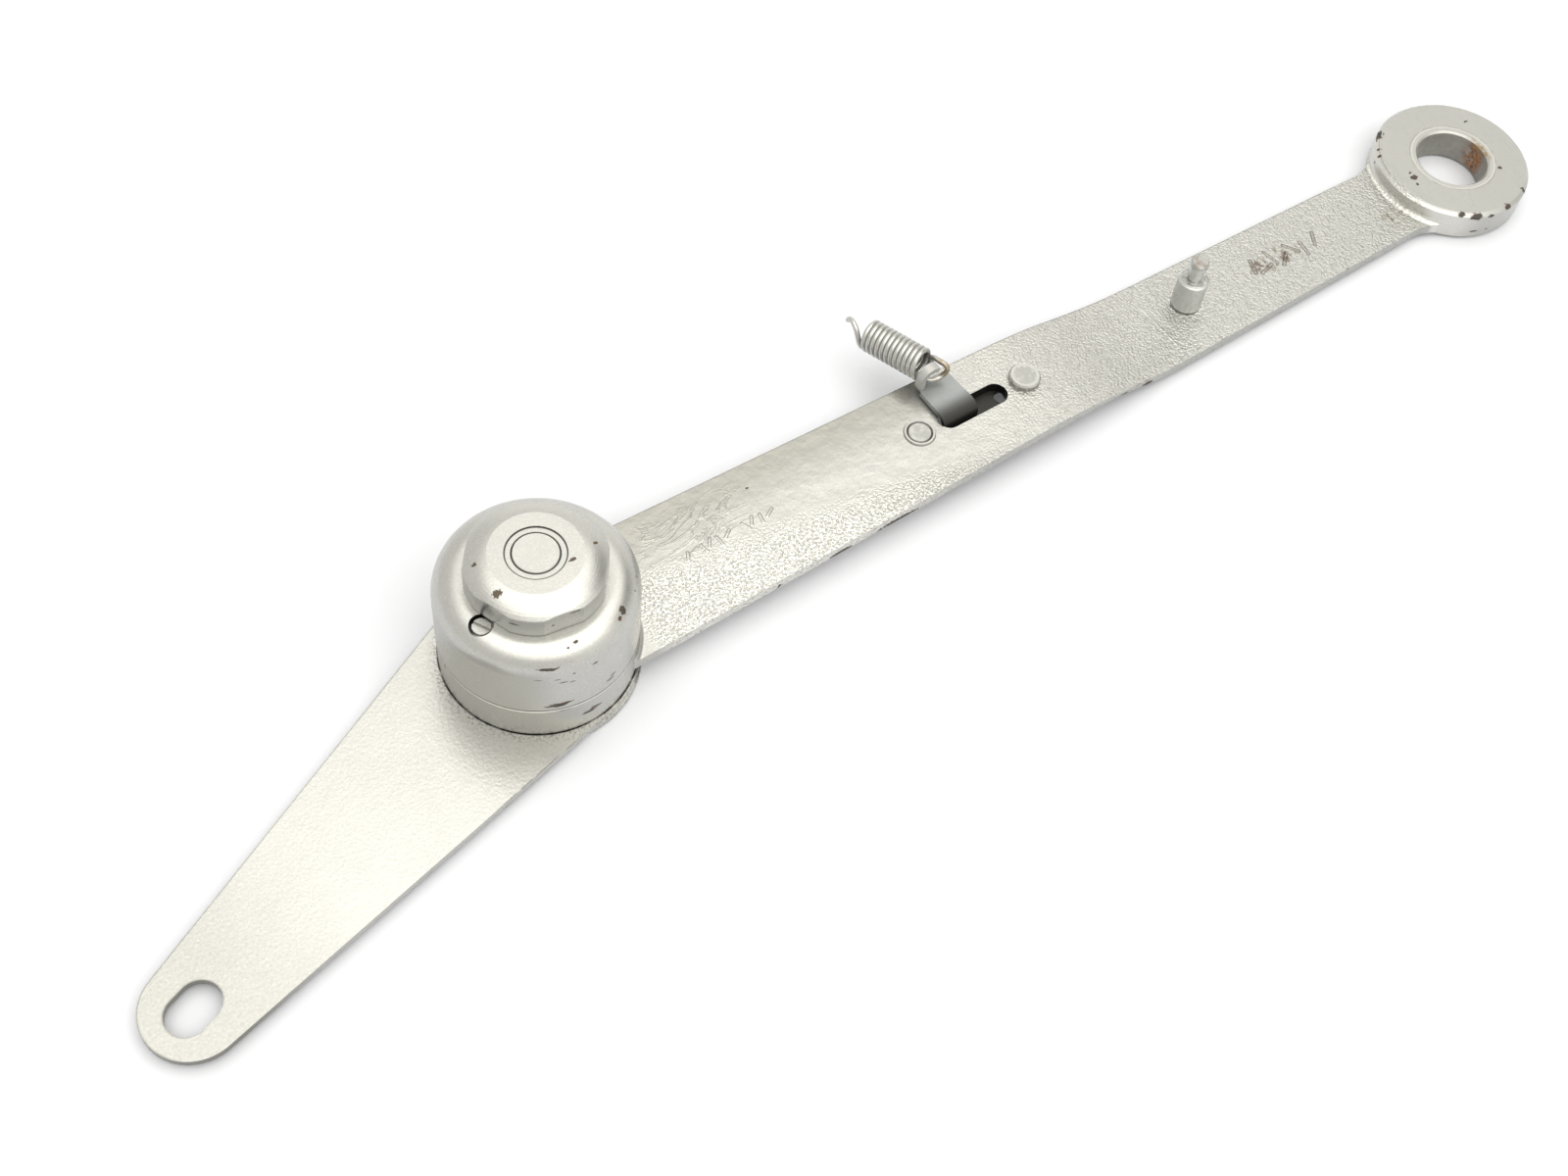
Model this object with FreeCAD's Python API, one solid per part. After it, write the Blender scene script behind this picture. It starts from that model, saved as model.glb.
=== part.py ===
import FreeCAD, Part
import math
import os

# Sprung pivot linkage. Millimetres, +Z up. The origin is on the pivot axis, in the plane the linkage
# rests on; +X runs from the pivot to the middle of the eye.

V = FreeCAD.Vector
FIT = 0.05  # running clearance, on the radius and between faces

# Lever and its round base plate
PLATE = 1.8  # thickness of the lever and of the base disc
LEVER_TOP = 2 * PLATE
LEVER_LENGTH = 100.5
LEVER_ANGLE = 199.5
HEAD_R = 21.4
TIP_R = 10.3
BASE_R = 21.7
SLOT_R = 4.36
SLOT_HALF = 1.6  # half the distance between the two arc centres of the slotted hole
RIVET_R = 2.0
RIVET_PITCH_R = 10.3

# Boss, cup and cap: radii and heights
BOSS_R = 20.85
BOSS_BOTTOM = LEVER_TOP + FIT
BOSS_TOP = 13.0
CUP_R = 21.0
CUP_TOP = 31.6
CUP_WALL = 1.8
CUP_ROUND = 5.4
CAP_R = 14.6
CAP_FLATS = 14.0  # centre to flat
CAP_ANGLE = -98.5  # outward direction of one flat
CAP_TOP = 39.0
CAP_FACE_R = 9.65
CAP_SHOULDER = 36.7  # height where the bevel starts
CAP_BEVEL = (12.75, 38.05)  # radius and height of a point on the bevel's arc
HUB_R = 11.0

# Spindle and what runs on it
JOURNAL_R = 7.0
SLEEVE_R = 6.0
SPINDLE_END_R = 4.85
BUSH_WALL = 1.5
FLANGE_R = 12.6
FLANGE_T = 1.5
KEY_HALF = 5.4  # centre to flat of the double-D on the spindle
HUB_KEY_HALF = 10.0
SLEEVE_BOTTOM = 18.4
SLEEVE_TOP = 33.3
CAP_BUSH_R = 6.2
CAP_BUSH_BOTTOM = 33.6
FRICTION_T = 0.8
WASHER = (13.8, 17.6, 0.6)  # inner radius, outer radius, thickness
SEAL = (18.7, 20.1, 0.75)
DRIVE_BOTTOM = BOSS_TOP + FRICTION_T + FIT
DRIVE_TOP = DRIVE_BOTTOM + 2.0
DRIVE_R = 16.2
CLIP_GROOVE = (16.95, 17.85)  # heights of the spindle clip
GROOVE_DEPTH = 0.8

# Torsion spring and the plates that hold it
SPRING_R = 14.0  # middle radius
SPRING_WIRE = 1.0
SPRING_TURNS = 4
SPRING_COIL = (18.4, 25.0)  # heights of the first and the last turn
LEG_ANGLE = 90.0  # lower leg, in the middle of the drive plate's arc slot
LEG_SWEEP = 135.0  # the arc slot reaches this far each way
ANCHOR_TOP = CUP_TOP - CUP_WALL - 0.1
ANCHOR_T = 1.8
ANCHOR_R = 16.2
ANCHOR_CLIP_T = 0.9

# Lock screw and dowels
SCREW_RADIUS = 15.9  # from the pivot axis
SCREW_ANGLE = -163.2
SCREW_HEAD_R = 1.9
SCREW_SHANK_R = 1.5
SCREW_HEAD_TOP = CUP_TOP - 0.6
SCREW_HEAD_T = 0.6
DOWEL_R = 1.0
DOWEL_PITCH_R = 18.6

# Long arm
ARM_TOP = 8.0
ARM_T = 2.6
ARM_DROP = 4.0
JOGGLE_TOP_START = 127.0
JOGGLE_BOTTOM_START = 141.0  # the underside stays flat as far as the slide reaches
JOGGLE_END = 172.0
ARM_HALF_WIDTH = 16.3  # at the pivot axis
ARM_TAPER = 0.0213  # loss of half width per mm of length
ARM_HOLLOW = 0.5  # the far edge bows inwards by this much in the middle
EYE_X = 271.5
EYE_R = 19.85
EYE_T = 8.6
EYE_SEAT_R = 11.2
EYE_BORE_R = 9.1
EYE_WEB_R = 13.0
STUD_X = 182.2
STUD_Y = 1.1
STUD_SHANK_R = 2.6

# Slide on the long arm
SLIDE_X = 115.6
SLIDE_Y = 0.9
ARM_SLOT_R = 2.9
ARM_SLOT_HALF = 6.75
GUIDE_HALF = 15.2  # rivets each side of the middle of the slot
GUIDE_R = 1.8
GUIDE_WASHER = (4.6, 0.6)  # radius, thickness
SLIDE_TRAVEL = 6.0
SLIDE_HALF_WIDTH = 8.5
SHEET = 1.2
SLIDE_TOP = ARM_TOP - ARM_T - FIT
TAB_LEFT = 106.5
TAB_WIDTH = 9.6
TAB_END_WIDTH = 8.9
TAB_END_Y = 11.4
TAB_BEND = 2.2  # middle radius of the bend above the slot
TAB_Z = 9.2  # middle plane of the flat part of the tab
EAR_FRONT_Y = 9.2
EAR_WALL_TOP = 12.9
EAR_CURL_R = 2.4  # middle radius of the ear's curled top
EAR_CURL_END = 50.0  # direction, seen from the front, in which the curl stops

# Return spring
COIL_R = 3.3  # middle radius
COIL_WIRE = 0.63
COIL_TURNS = 12.4  # the first turn starts on the right-hand side and goes down
COIL_START = V(109.3, 12.6, 14.1)
COIL_ALONG = V(-0.255, 0.956, -0.143).normalize()


def cylinder(radius, bottom, top, x=0.0, y=0.0):
    return Part.makeCylinder(radius, top - bottom, V(x, y, bottom))


def ring(outer, inner, bottom, top, x=0.0, y=0.0):
    return cylinder(outer, bottom, top, x, y).cut(cylinder(inner, bottom - 1, top + 1, x, y))


def box(x0, x1, y0, y1, z0, z1):
    return Part.makeBox(x1 - x0, y1 - y0, z1 - z0, V(x0, y0, z0))


def polar(radius, degrees, z=0.0):
    turn = math.radians(degrees)
    return V(radius * math.cos(turn), radius * math.sin(turn), z)


def revolve(profile):
    """Turn a closed (radius, height) outline about the pivot axis."""
    points = [V(radius, 0, height) for radius, height in profile]
    face = Part.Face(Part.makePolygon(points + [points[0]]))
    return face.revolve(V(0, 0, 0), V(0, 0, 1), 360)


def slab(outline, bottom, top):
    """Extrude a closed wire that was drawn at z = 0."""
    solid = Part.Face(outline).extrude(V(0, 0, top - bottom))
    solid.translate(V(0, 0, bottom))
    return solid


def slot(radius, half, bottom, top, x=0.0, y=0.0):
    """Slotted hole cutter along X."""
    middle = box(x - half, x + half, y - radius, y + radius, bottom, top)
    ends = [cylinder(radius, bottom, top, x + side * half, y) for side in (-1, 1)]
    return middle.fuse(ends).removeSplitter()


def edges_at(shape, radius, height, x=0.0, y=0.0):
    """Circular edges of one radius, centred on (x, y) at one height."""
    found = []
    for edge in shape.Edges:
        curve = edge.Curve
        if isinstance(curve, Part.Circle) and abs(curve.Radius - radius) < 0.01:
            centre = curve.Center
            if abs(centre.z - height) < 0.01 and math.hypot(centre.x - x, centre.y - y) < 0.01:
                found.append(edge)
    return found


def sweep(wire, radius):
    """Round wire of one radius along a path."""
    edge = wire.Edges[0]
    start = edge.valueAt(edge.FirstParameter)
    tangent = edge.tangentAt(edge.FirstParameter)
    circle = Part.Wire(Part.Circle(start, tangent, radius).toShape())
    return wire.makePipeShell([circle], True, True)


def spline(points, start_tangent=None, end_tangent=None):
    curve = Part.BSplineCurve()
    if start_tangent is None:
        curve.interpolate(points)
    else:
        curve.interpolate(Points=points, InitialTangent=start_tangent, FinalTangent=end_tangent)
    return curve.toShape()


# ---------------------------------------------------------------- lever side

def lever_blank():
    """Tangent outline around the round head and the round tip."""
    lean = math.degrees(math.asin((HEAD_R - TIP_R) / LEVER_LENGTH))
    tip = V(LEVER_LENGTH, 0, 0)
    head_points = [polar(HEAD_R, angle) for angle in (90 - lean, 180, lean - 90)]
    tip_points = [tip + polar(TIP_R, angle) for angle in (lean - 90, 0, 90 - lean)]
    edges = [
        Part.Arc(*head_points).toShape(),
        Part.makeLine(head_points[2], tip_points[0]),
        Part.Arc(*tip_points).toShape(),
        Part.makeLine(tip_points[2], head_points[0]),
    ]
    return slab(Part.Wire(edges), PLATE, LEVER_TOP)


def rivet_places():
    return [polar(RIVET_PITCH_R, LEVER_ANGLE + 45 + 90 * index) for index in range(4)]


def tapered_lever():
    lever = lever_blank().cut(slot(SLOT_R, SLOT_HALF, 0, LEVER_TOP + 1, LEVER_LENGTH))
    lever.rotate(V(0, 0, 0), V(0, 0, 1), LEVER_ANGLE)
    lever = lever.cut(cylinder(JOURNAL_R, 0, LEVER_TOP + 1))
    for place in rivet_places():
        lever = lever.cut(cylinder(RIVET_R, 0, LEVER_TOP + 1, place.x, place.y))
    return lever


def base_disc():
    disc = ring(BASE_R, JOURNAL_R, 0, PLATE)
    disc = disc.makeChamfer(0.3, edges_at(disc, BASE_R, 0))
    for place in rivet_places():
        sink = Part.makeCone(RIVET_R + 0.8, RIVET_R, 0.8, V(place.x, place.y, 0))
        disc = disc.cut([cylinder(RIVET_R, -1, PLATE + 1, place.x, place.y), sink])
    return disc


def lever_rivets():
    rivets = []
    for place in rivet_places():
        shank = cylinder(RIVET_R, 0, LEVER_TOP + FLANGE_T, place.x, place.y)
        head = Part.makeCone(RIVET_R + 0.8, RIVET_R, 0.8, V(place.x, place.y, 0))
        rivets.append(shank.fuse(head).removeSplitter())
    return Part.makeCompound(rivets)


def spindle_blank():
    edge = 0.25
    flange_top = LEVER_TOP + FLANGE_T
    return revolve([
        (0, edge), (JOURNAL_R - 2 * edge, edge), (JOURNAL_R, 3 * edge), (JOURNAL_R, LEVER_TOP),
        (FLANGE_R, LEVER_TOP), (FLANGE_R, flange_top), (JOURNAL_R, flange_top),
        (JOURNAL_R, SLEEVE_BOTTOM), (SLEEVE_R, SLEEVE_BOTTOM),
        (SLEEVE_R, SLEEVE_TOP), (SPINDLE_END_R, SLEEVE_TOP),
        (SPINDLE_END_R, CAP_TOP - edge), (SPINDLE_END_R - edge, CAP_TOP), (0, CAP_TOP),
    ])


def spindle():
    body = spindle_blank()
    keyed = keyed_hole(JOURNAL_R, KEY_HALF, DRIVE_BOTTOM - 0.1, SLEEVE_BOTTOM)
    body = body.cut(cylinder(JOURNAL_R, DRIVE_BOTTOM - 0.1, SLEEVE_BOTTOM).cut(keyed))
    body = body.cut(ring(JOURNAL_R + 1, JOURNAL_R - GROOVE_DEPTH, *CLIP_GROOVE))
    for place in rivet_places():
        body = body.cut(cylinder(RIVET_R, 0, LEVER_TOP + 2 * FLANGE_T, place.x, place.y))
    return body


def keyed_hole(radius, half, bottom, top):
    """Double-D cutter: a round bar with two flats that face +Y and -Y."""
    return cylinder(radius, bottom, top).common(box(-radius - 1, radius + 1, -half, half, bottom, top))


def drive_plate():
    """Keyed plate with an arc slot for the lower leg of the spring."""
    low = DRIVE_BOTTOM - 1
    high = DRIVE_TOP + 1
    plate = cylinder(DRIVE_R, DRIVE_BOTTOM, DRIVE_TOP).cut(keyed_hole(JOURNAL_R, KEY_HALF, low, high))
    slot_r = SPRING_WIRE + 0.3
    channel = ring(SPRING_R + slot_r, SPRING_R - slot_r, low, high)
    back = LEG_ANGLE + 180
    keep = [polar(2 * DRIVE_R, back + side * (180 - LEG_SWEEP)) for side in (-1, 1)]
    outline = Part.makePolygon([V(0, 0, 0), keep[0], polar(4 * DRIVE_R, back), keep[1], V(0, 0, 0)])
    return plate.cut(channel.cut(slab(outline, low, high)))


def disc_springs():
    """Two coned washers back to back between the drive plate and the clip."""
    inner = JOURNAL_R + 0.2
    outer = 10.4
    thickness = 0.35
    middle = (DRIVE_TOP + CLIP_GROOVE[0]) / 2
    washers = []
    for low_inner, low_outer in ((middle - thickness, DRIVE_TOP), (middle, CLIP_GROOVE[0] - thickness)):
        washers.append(revolve([
            (inner, low_inner), (outer, low_outer),
            (outer, low_outer + thickness), (inner, low_inner + thickness),
        ]))
    return Part.makeCompound(washers)


def spindle_clip():
    outer = 10.2
    mouth_half = 2.6
    clip = ring(outer, JOURNAL_R - GROOVE_DEPTH, *CLIP_GROOVE)
    mouth = box(0, outer + 1, -mouth_half, mouth_half, CLIP_GROOVE[0] - 1, CLIP_GROOVE[1] + 1)
    return clip.cut(mouth)


# ------------------------------------------------------------------ arm side

def eye_web(radius, side):
    """Web between one edge of the arm and the eye, hollowed to a radius."""
    level = ARM_HALF_WIDTH - ARM_TAPER * (EYE_X - EYE_R)
    centre_y = level + radius
    centre_x = EYE_X - math.sqrt((EYE_R + radius) ** 2 - centre_y ** 2)
    corners = [V(centre_x, 0, 0), V(centre_x, side * centre_y, 0), V(EYE_X, 0, 0), V(centre_x, 0, 0)]
    web = slab(Part.makePolygon(corners), 0, 20)
    return web.cut(cylinder(radius, -1, 21, centre_x, side * centre_y))


def joggle(start, top):
    """Two opposed arcs from one level down to the neck's level."""
    run = JOGGLE_END - start
    bend = (run ** 2 + ARM_DROP ** 2) / (4 * ARM_DROP)
    quarter = run / 4
    sag = bend - math.sqrt(bend ** 2 - quarter ** 2)
    first = V(start, 0, top)
    upper = V(start + quarter, 0, top - sag)
    middle = V(start + run / 2, 0, top - ARM_DROP / 2)
    lower = V(JOGGLE_END - quarter, 0, top - ARM_DROP + sag)
    last = V(JOGGLE_END, 0, top - ARM_DROP)
    return [Part.Arc(first, upper, middle).toShape(), Part.Arc(middle, lower, last).toShape()]


def arm_side_view():
    """Side view of the arm: flat, down to the neck, flat."""
    top = ARM_TOP
    bottom = ARM_TOP - ARM_T
    neck_top = top - ARM_DROP
    neck_bottom = bottom - ARM_DROP
    edges = joggle(JOGGLE_TOP_START, top) + joggle(JOGGLE_BOTTOM_START, bottom)
    edges += [
        Part.makeLine(V(0, 0, top), V(JOGGLE_TOP_START, 0, top)),
        Part.makeLine(V(JOGGLE_END, 0, neck_top), V(EYE_X, 0, neck_top)),
        Part.makeLine(V(EYE_X, 0, neck_top), V(EYE_X, 0, neck_bottom)),
        Part.makeLine(V(EYE_X, 0, neck_bottom), V(JOGGLE_END, 0, neck_bottom)),
        Part.makeLine(V(JOGGLE_BOTTOM_START, 0, bottom), V(0, 0, bottom)),
        Part.makeLine(V(0, 0, bottom), V(0, 0, top)),
    ]
    return Part.Wire(Part.__sortEdges__(edges))


def arm_plan():
    """Tall block with the arm's tapered outline and its webs into the eye."""
    tip_half = ARM_HALF_WIDTH - ARM_TAPER * EYE_X
    corners = [
        V(0, ARM_HALF_WIDTH, 0), V(0, -ARM_HALF_WIDTH, 0),
        V(EYE_X, -tip_half, 0), V(EYE_X, tip_half, 0),
    ]
    middle = V(EYE_X / 2, (ARM_HALF_WIDTH + tip_half) / 2 - ARM_HOLLOW, 0)
    far_edge = Part.Arc(corners[3], middle, corners[0]).toShape()
    outline = Part.Wire(Part.makePolygon(corners).Edges + [far_edge])
    webs = [eye_web(EYE_WEB_R, side) for side in (-1, 1)]
    return slab(outline, 0, 20).fuse(webs)


def arm_plate():
    side = Part.Face(arm_side_view()).extrude(V(0, 80, 0))
    side.translate(V(0, -40, 0))
    return side.common(arm_plan()).removeSplitter()


def wall_fillet(x, wall_r, radius, level):
    """Ring of material that blends a flat at one level into the round wall of a boss or an eye."""
    skirt = revolve([
        (wall_r - 1, level - 0.5), (wall_r + radius, level - 0.5), (wall_r + radius, level),
        (wall_r, level + radius), (wall_r - 1, level + radius),
    ])
    hollow = Part.makeTorus(wall_r + radius, radius, V(0, 0, level + radius))
    blend = skirt.cut(hollow)
    blend.translate(V(x, 0, 0))
    return blend.common(arm_plan())


def guide_places():
    return [SLIDE_X - GUIDE_HALF, SLIDE_X + GUIDE_HALF]


def long_arm():
    boss = cylinder(BOSS_R, BOSS_BOTTOM, BOSS_TOP)
    eye = cylinder(EYE_R, 0, EYE_T, EYE_X)
    eye = eye.makeChamfer(0.9, edges_at(eye, EYE_R, EYE_T, EYE_X) + edges_at(eye, EYE_R, 0, EYE_X))
    fillets = [wall_fillet(0, BOSS_R, 1.4, ARM_TOP), wall_fillet(EYE_X, EYE_R, 1.3, ARM_TOP - ARM_DROP)]
    arm = arm_plate().fuse([boss, eye] + fillets).removeSplitter()
    arm = arm.cut(cylinder(EYE_SEAT_R, -1, EYE_T + 1, EYE_X))
    arm = arm.cut(cylinder(JOURNAL_R + BUSH_WALL, 0, BOSS_TOP + 1))
    arm = arm.cut(cylinder(FLANGE_R + 0.2, 0, LEVER_TOP + FLANGE_T + FIT))
    for inner, outer, thickness in (WASHER, SEAL):
        arm = arm.cut(ring(outer + 0.15, inner - 0.15, 0, LEVER_TOP + thickness + FIT))
    arm = arm.cut(slot(ARM_SLOT_R, ARM_SLOT_HALF, 0, 20, SLIDE_X, SLIDE_Y))
    holes = [cylinder(GUIDE_R, 0, 20, x, SLIDE_Y) for x in guide_places()]
    holes.append(cylinder(STUD_SHANK_R, 0, 20, STUD_X, STUD_Y))
    return arm.cut(holes).cut(cup_dowels())


def dowel_places():
    return [polar(DOWEL_PITCH_R, 30 + 120 * index) for index in range(3)]


def cup_dowels():
    dowels = [cylinder(DOWEL_R, BOSS_TOP - 3, BOSS_TOP + 2.5, place.x, place.y) for place in dowel_places()]
    return Part.makeCompound(dowels)


def housing_cup():
    """Cup with a foot ring inside, a round mouth for the cap's hub and a seat for the lock screw."""
    outer = cylinder(CUP_R, BOSS_TOP, CUP_TOP)
    outer = outer.makeFillet(CUP_ROUND, edges_at(outer, CUP_R, CUP_TOP))
    outer = outer.makeChamfer(0.25, edges_at(outer, CUP_R, BOSS_TOP))
    hollow_r = CUP_R - CUP_WALL
    hollow = cylinder(hollow_r, BOSS_TOP - 1, CUP_TOP - CUP_WALL)
    hollow = hollow.makeFillet(CUP_ROUND - CUP_WALL, edges_at(hollow, hollow_r, CUP_TOP - CUP_WALL))
    cup = outer.cut(hollow)
    foot = ring(hollow_r + 0.5, DRIVE_R + 0.3, BOSS_TOP, BOSS_TOP + 3)
    cup = cup.fuse(foot).removeSplitter()
    cup = cup.cut(cylinder(HUB_R + FIT, BOSS_TOP, CUP_TOP + 1))
    screw = polar(SCREW_RADIUS, SCREW_ANGLE)
    head_seat = SCREW_HEAD_TOP - SCREW_HEAD_T
    cup = cup.cut(cylinder(SCREW_HEAD_R + 0.55, head_seat, CUP_TOP + 1, screw.x, screw.y))
    cup = cup.cut(cylinder(SCREW_SHANK_R + FIT, BOSS_TOP + 10, CUP_TOP + 1, screw.x, screw.y))
    return cup.cut(cup_dowels())


def lock_screw():
    screw = polar(SCREW_RADIUS, SCREW_ANGLE)
    head_seat = SCREW_HEAD_TOP - SCREW_HEAD_T
    head = cylinder(SCREW_HEAD_R, head_seat, SCREW_HEAD_TOP, screw.x, screw.y)
    shank = cylinder(SCREW_SHANK_R, ANCHOR_TOP + FIT, head_seat, screw.x, screw.y)
    notch_half = 0.3
    reach = SCREW_HEAD_R + 0.5
    notch = box(-reach, reach, -notch_half, notch_half, SCREW_HEAD_TOP - notch_half, SCREW_HEAD_TOP + 1)
    notch.rotate(V(0, 0, 0), V(0, 0, 1), -60)
    notch.translate(screw)
    return head.fuse(shank).removeSplitter().cut(notch)


def cap_profile():
    """Half section of the cap, with the rounded bevel as an arc."""
    hub_bottom = ANCHOR_TOP - ANCHOR_T - ANCHOR_CLIP_T - 0.6
    well_r = SLEEVE_R + 1.2
    corners = [
        (CAP_R, CAP_SHOULDER), (CAP_R, CUP_TOP + FIT), (HUB_R, CUP_TOP + FIT), (HUB_R, hub_bottom),
        (well_r, hub_bottom), (well_r, CAP_BUSH_BOTTOM), (CAP_BUSH_R, CAP_BUSH_BOTTOM),
        (CAP_BUSH_R, CAP_TOP), (CAP_FACE_R, CAP_TOP),
    ]
    points = [V(radius, 0, height) for radius, height in corners]
    edges = [Part.makeLine(points[index], points[index + 1]) for index in range(len(points) - 1)]
    bevel = V(CAP_BEVEL[0], 0, CAP_BEVEL[1])
    edges.append(Part.Arc(points[-1], bevel, points[0]).toShape())
    return Part.Wire(edges)


def hexagon(half, bottom, top, turn):
    corner = half / math.cos(math.radians(30))
    points = [polar(corner, turn + 30 + 60 * index) for index in range(6)]
    return slab(Part.makePolygon(points + [points[0]]), bottom, top)


def adjuster_cap():
    cap = Part.Face(cap_profile()).revolve(V(0, 0, 0), V(0, 0, 1), 360)
    nut = hexagon(CAP_FLATS, CUP_TOP - 1, CAP_TOP + 2, CAP_ANGLE)
    cap = cap.cut(cylinder(CAP_R + 2, CUP_TOP, CAP_TOP + 1).cut(nut))
    clip_top = ANCHOR_TOP - ANCHOR_T
    cap = cap.cut(ring(HUB_R + 1, HUB_R - GROOVE_DEPTH, clip_top - ANCHOR_CLIP_T, clip_top))
    for side in (-1, 1):
        low, high = sorted((side * HUB_KEY_HALF, side * (HUB_R + 1)))
        cap = cap.cut(box(-HUB_R, HUB_R, low, high, clip_top, ANCHOR_TOP))
    return cap


def cap_bush():
    return ring(CAP_BUSH_R, SPINDLE_END_R + FIT, CAP_BUSH_BOTTOM, CAP_TOP - 0.2)


def anchor_plate():
    bottom = ANCHOR_TOP - ANCHOR_T
    plate = cylinder(ANCHOR_R, bottom, ANCHOR_TOP)
    plate = plate.cut(keyed_hole(HUB_R, HUB_KEY_HALF, bottom - 1, ANCHOR_TOP + 1))
    leg = polar(SPRING_R, LEG_ANGLE)
    return plate.cut(cylinder(SPRING_WIRE + 0.25, bottom - 1, ANCHOR_TOP + 1, leg.x, leg.y))


def anchor_clip():
    top = ANCHOR_TOP - ANCHOR_T
    outer = 12.8
    mouth_half = 3.0
    clip = ring(outer, HUB_R - GROOVE_DEPTH, top - ANCHOR_CLIP_T, top)
    return clip.cut(box(0, outer + 1, -mouth_half, mouth_half, top - 2, top + 1))


def torsion_spring():
    """Open turns between two upright legs, drawn as one smooth path."""
    steps = 24  # points per turn
    start_z, end_z = SPRING_COIL
    count = SPRING_TURNS * steps
    lower_leg = [polar(SPRING_R, LEG_ANGLE, z) for z in (DRIVE_BOTTOM + 0.3, DRIVE_TOP + 0.3)]
    upper_leg = [polar(SPRING_R, LEG_ANGLE, z) for z in (ANCHOR_TOP - ANCHOR_T, ANCHOR_TOP - 0.2)]
    coil = []
    for index in range(1, count):
        turned = LEG_ANGLE + 360 * index / steps
        coil.append(polar(SPRING_R, turned, start_z + index / count * (end_z - start_z)))
    return sweep(Part.Wire([spline(lower_leg + coil + upper_leg)]), SPRING_WIRE)


def stepped_stud():
    arm_top = ARM_TOP - ARM_DROP
    arm_bottom = arm_top - ARM_T
    body_top = arm_top + 9.2
    pin_top = body_top + 5.8
    corners = [
        (0, arm_bottom - 0.9), (2.9, arm_bottom - 0.9), (3.6, arm_bottom - 0.3), (3.6, arm_bottom),
        (STUD_SHANK_R, arm_bottom), (STUD_SHANK_R, arm_top), (3.7, arm_top), (3.7, body_top - 0.6),
        (3.1, body_top), (1.8, body_top), (1.8, pin_top - 2.2), (2.2, pin_top - 1.9), (2.2, pin_top - 0.35),
        (1.85, pin_top), (0, pin_top),
    ]
    stud = revolve(corners)
    stud.translate(V(STUD_X, STUD_Y, 0))
    return stud


def eye_bush():
    bush = ring(EYE_SEAT_R, EYE_BORE_R, 0, EYE_T, EYE_X)
    rims = edges_at(bush, EYE_BORE_R, EYE_T, EYE_X) + edges_at(bush, EYE_BORE_R, 0, EYE_X)
    return bush.makeChamfer(0.5, rims)


# --------------------------------------------------------------------- slide

def tab_path():
    """Section of the tab in the YZ plane: up through the slot, then flat towards +Y."""
    rise_y = SLIDE_Y - 1.0
    low = V(0, rise_y, SLIDE_TOP - SHEET / 2)
    high = V(0, rise_y, TAB_Z - TAB_BEND)
    flat = V(0, rise_y + TAB_BEND, TAB_Z)
    inset = TAB_BEND * (1 - math.sqrt(0.5))
    knee = V(0, rise_y + inset, TAB_Z - inset)
    end = V(0, TAB_END_Y, TAB_Z)
    return [Part.makeLine(low, high), Part.Arc(high, knee, flat).toShape(), Part.makeLine(flat, end)]


def ear_path():
    """Section of the ear in the XZ plane: up from the tab's left edge, then curled over to the right."""
    wall_x = TAB_LEFT + SHEET / 2
    corner = 1.2
    inset = corner * (1 - math.sqrt(0.5))
    foot = V(wall_x + corner, 0, TAB_Z)
    knee = V(wall_x + inset, 0, TAB_Z + inset)
    low = V(wall_x, 0, TAB_Z + corner)
    high = V(wall_x, 0, EAR_WALL_TOP)
    centre = V(wall_x + EAR_CURL_R, 0, EAR_WALL_TOP)
    curl = []
    for degrees in (180, (180 + EAR_CURL_END) / 2, EAR_CURL_END):
        turn = math.radians(degrees)
        curl.append(centre + V(EAR_CURL_R * math.cos(turn), 0, EAR_CURL_R * math.sin(turn)))
    return [Part.Arc(foot, knee, low).toShape(), Part.makeLine(low, high), Part.Arc(*curl).toShape()]


def strip(edges, start, direction):
    """Sheet of the slide's thickness along a path; direction is its width as a vector from start."""
    path = Part.Wire(edges)
    first = edges[0]
    tangent = first.tangentAt(first.FirstParameter)
    across = tangent.cross(direction).normalize() * (SHEET / 2)
    begin = first.valueAt(first.FirstParameter) + start
    corners = [begin - across, begin + across, begin + across + direction, begin - across + direction]
    path.translate(start)
    section = Part.makePolygon(corners + [corners[0]])
    return path.makePipeShell([section], True, False)


def hook_tab():
    """Tab that narrows towards its end, with the ear that holds the spring on its left edge."""
    sheet = strip(tab_path(), V(TAB_LEFT, 0, 0), V(TAB_WIDTH, 0, 0))
    low = TAB_Z - SHEET
    right = TAB_LEFT + TAB_WIDTH
    narrow = Part.makePolygon([
        V(right, TAB_BEND, 0), V(right + 1, TAB_BEND, 0), V(right + 1, TAB_END_Y + 1, 0),
        V(TAB_LEFT + TAB_END_WIDTH, TAB_END_Y + 1, 0), V(right, TAB_BEND, 0),
    ])
    sheet = sheet.cut(slab(narrow, low, TAB_Z + SHEET))
    bend_gap = box(TAB_LEFT - 1, TAB_LEFT + SHEET / 2 + 1.2, EAR_FRONT_Y, TAB_END_Y + 1, low, TAB_Z + SHEET)
    ear = strip(ear_path(), V(0, EAR_FRONT_Y, 0), V(0, TAB_END_Y - EAR_FRONT_Y, 0))
    return sheet.cut(bend_gap).fuse(ear).removeSplitter()


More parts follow.
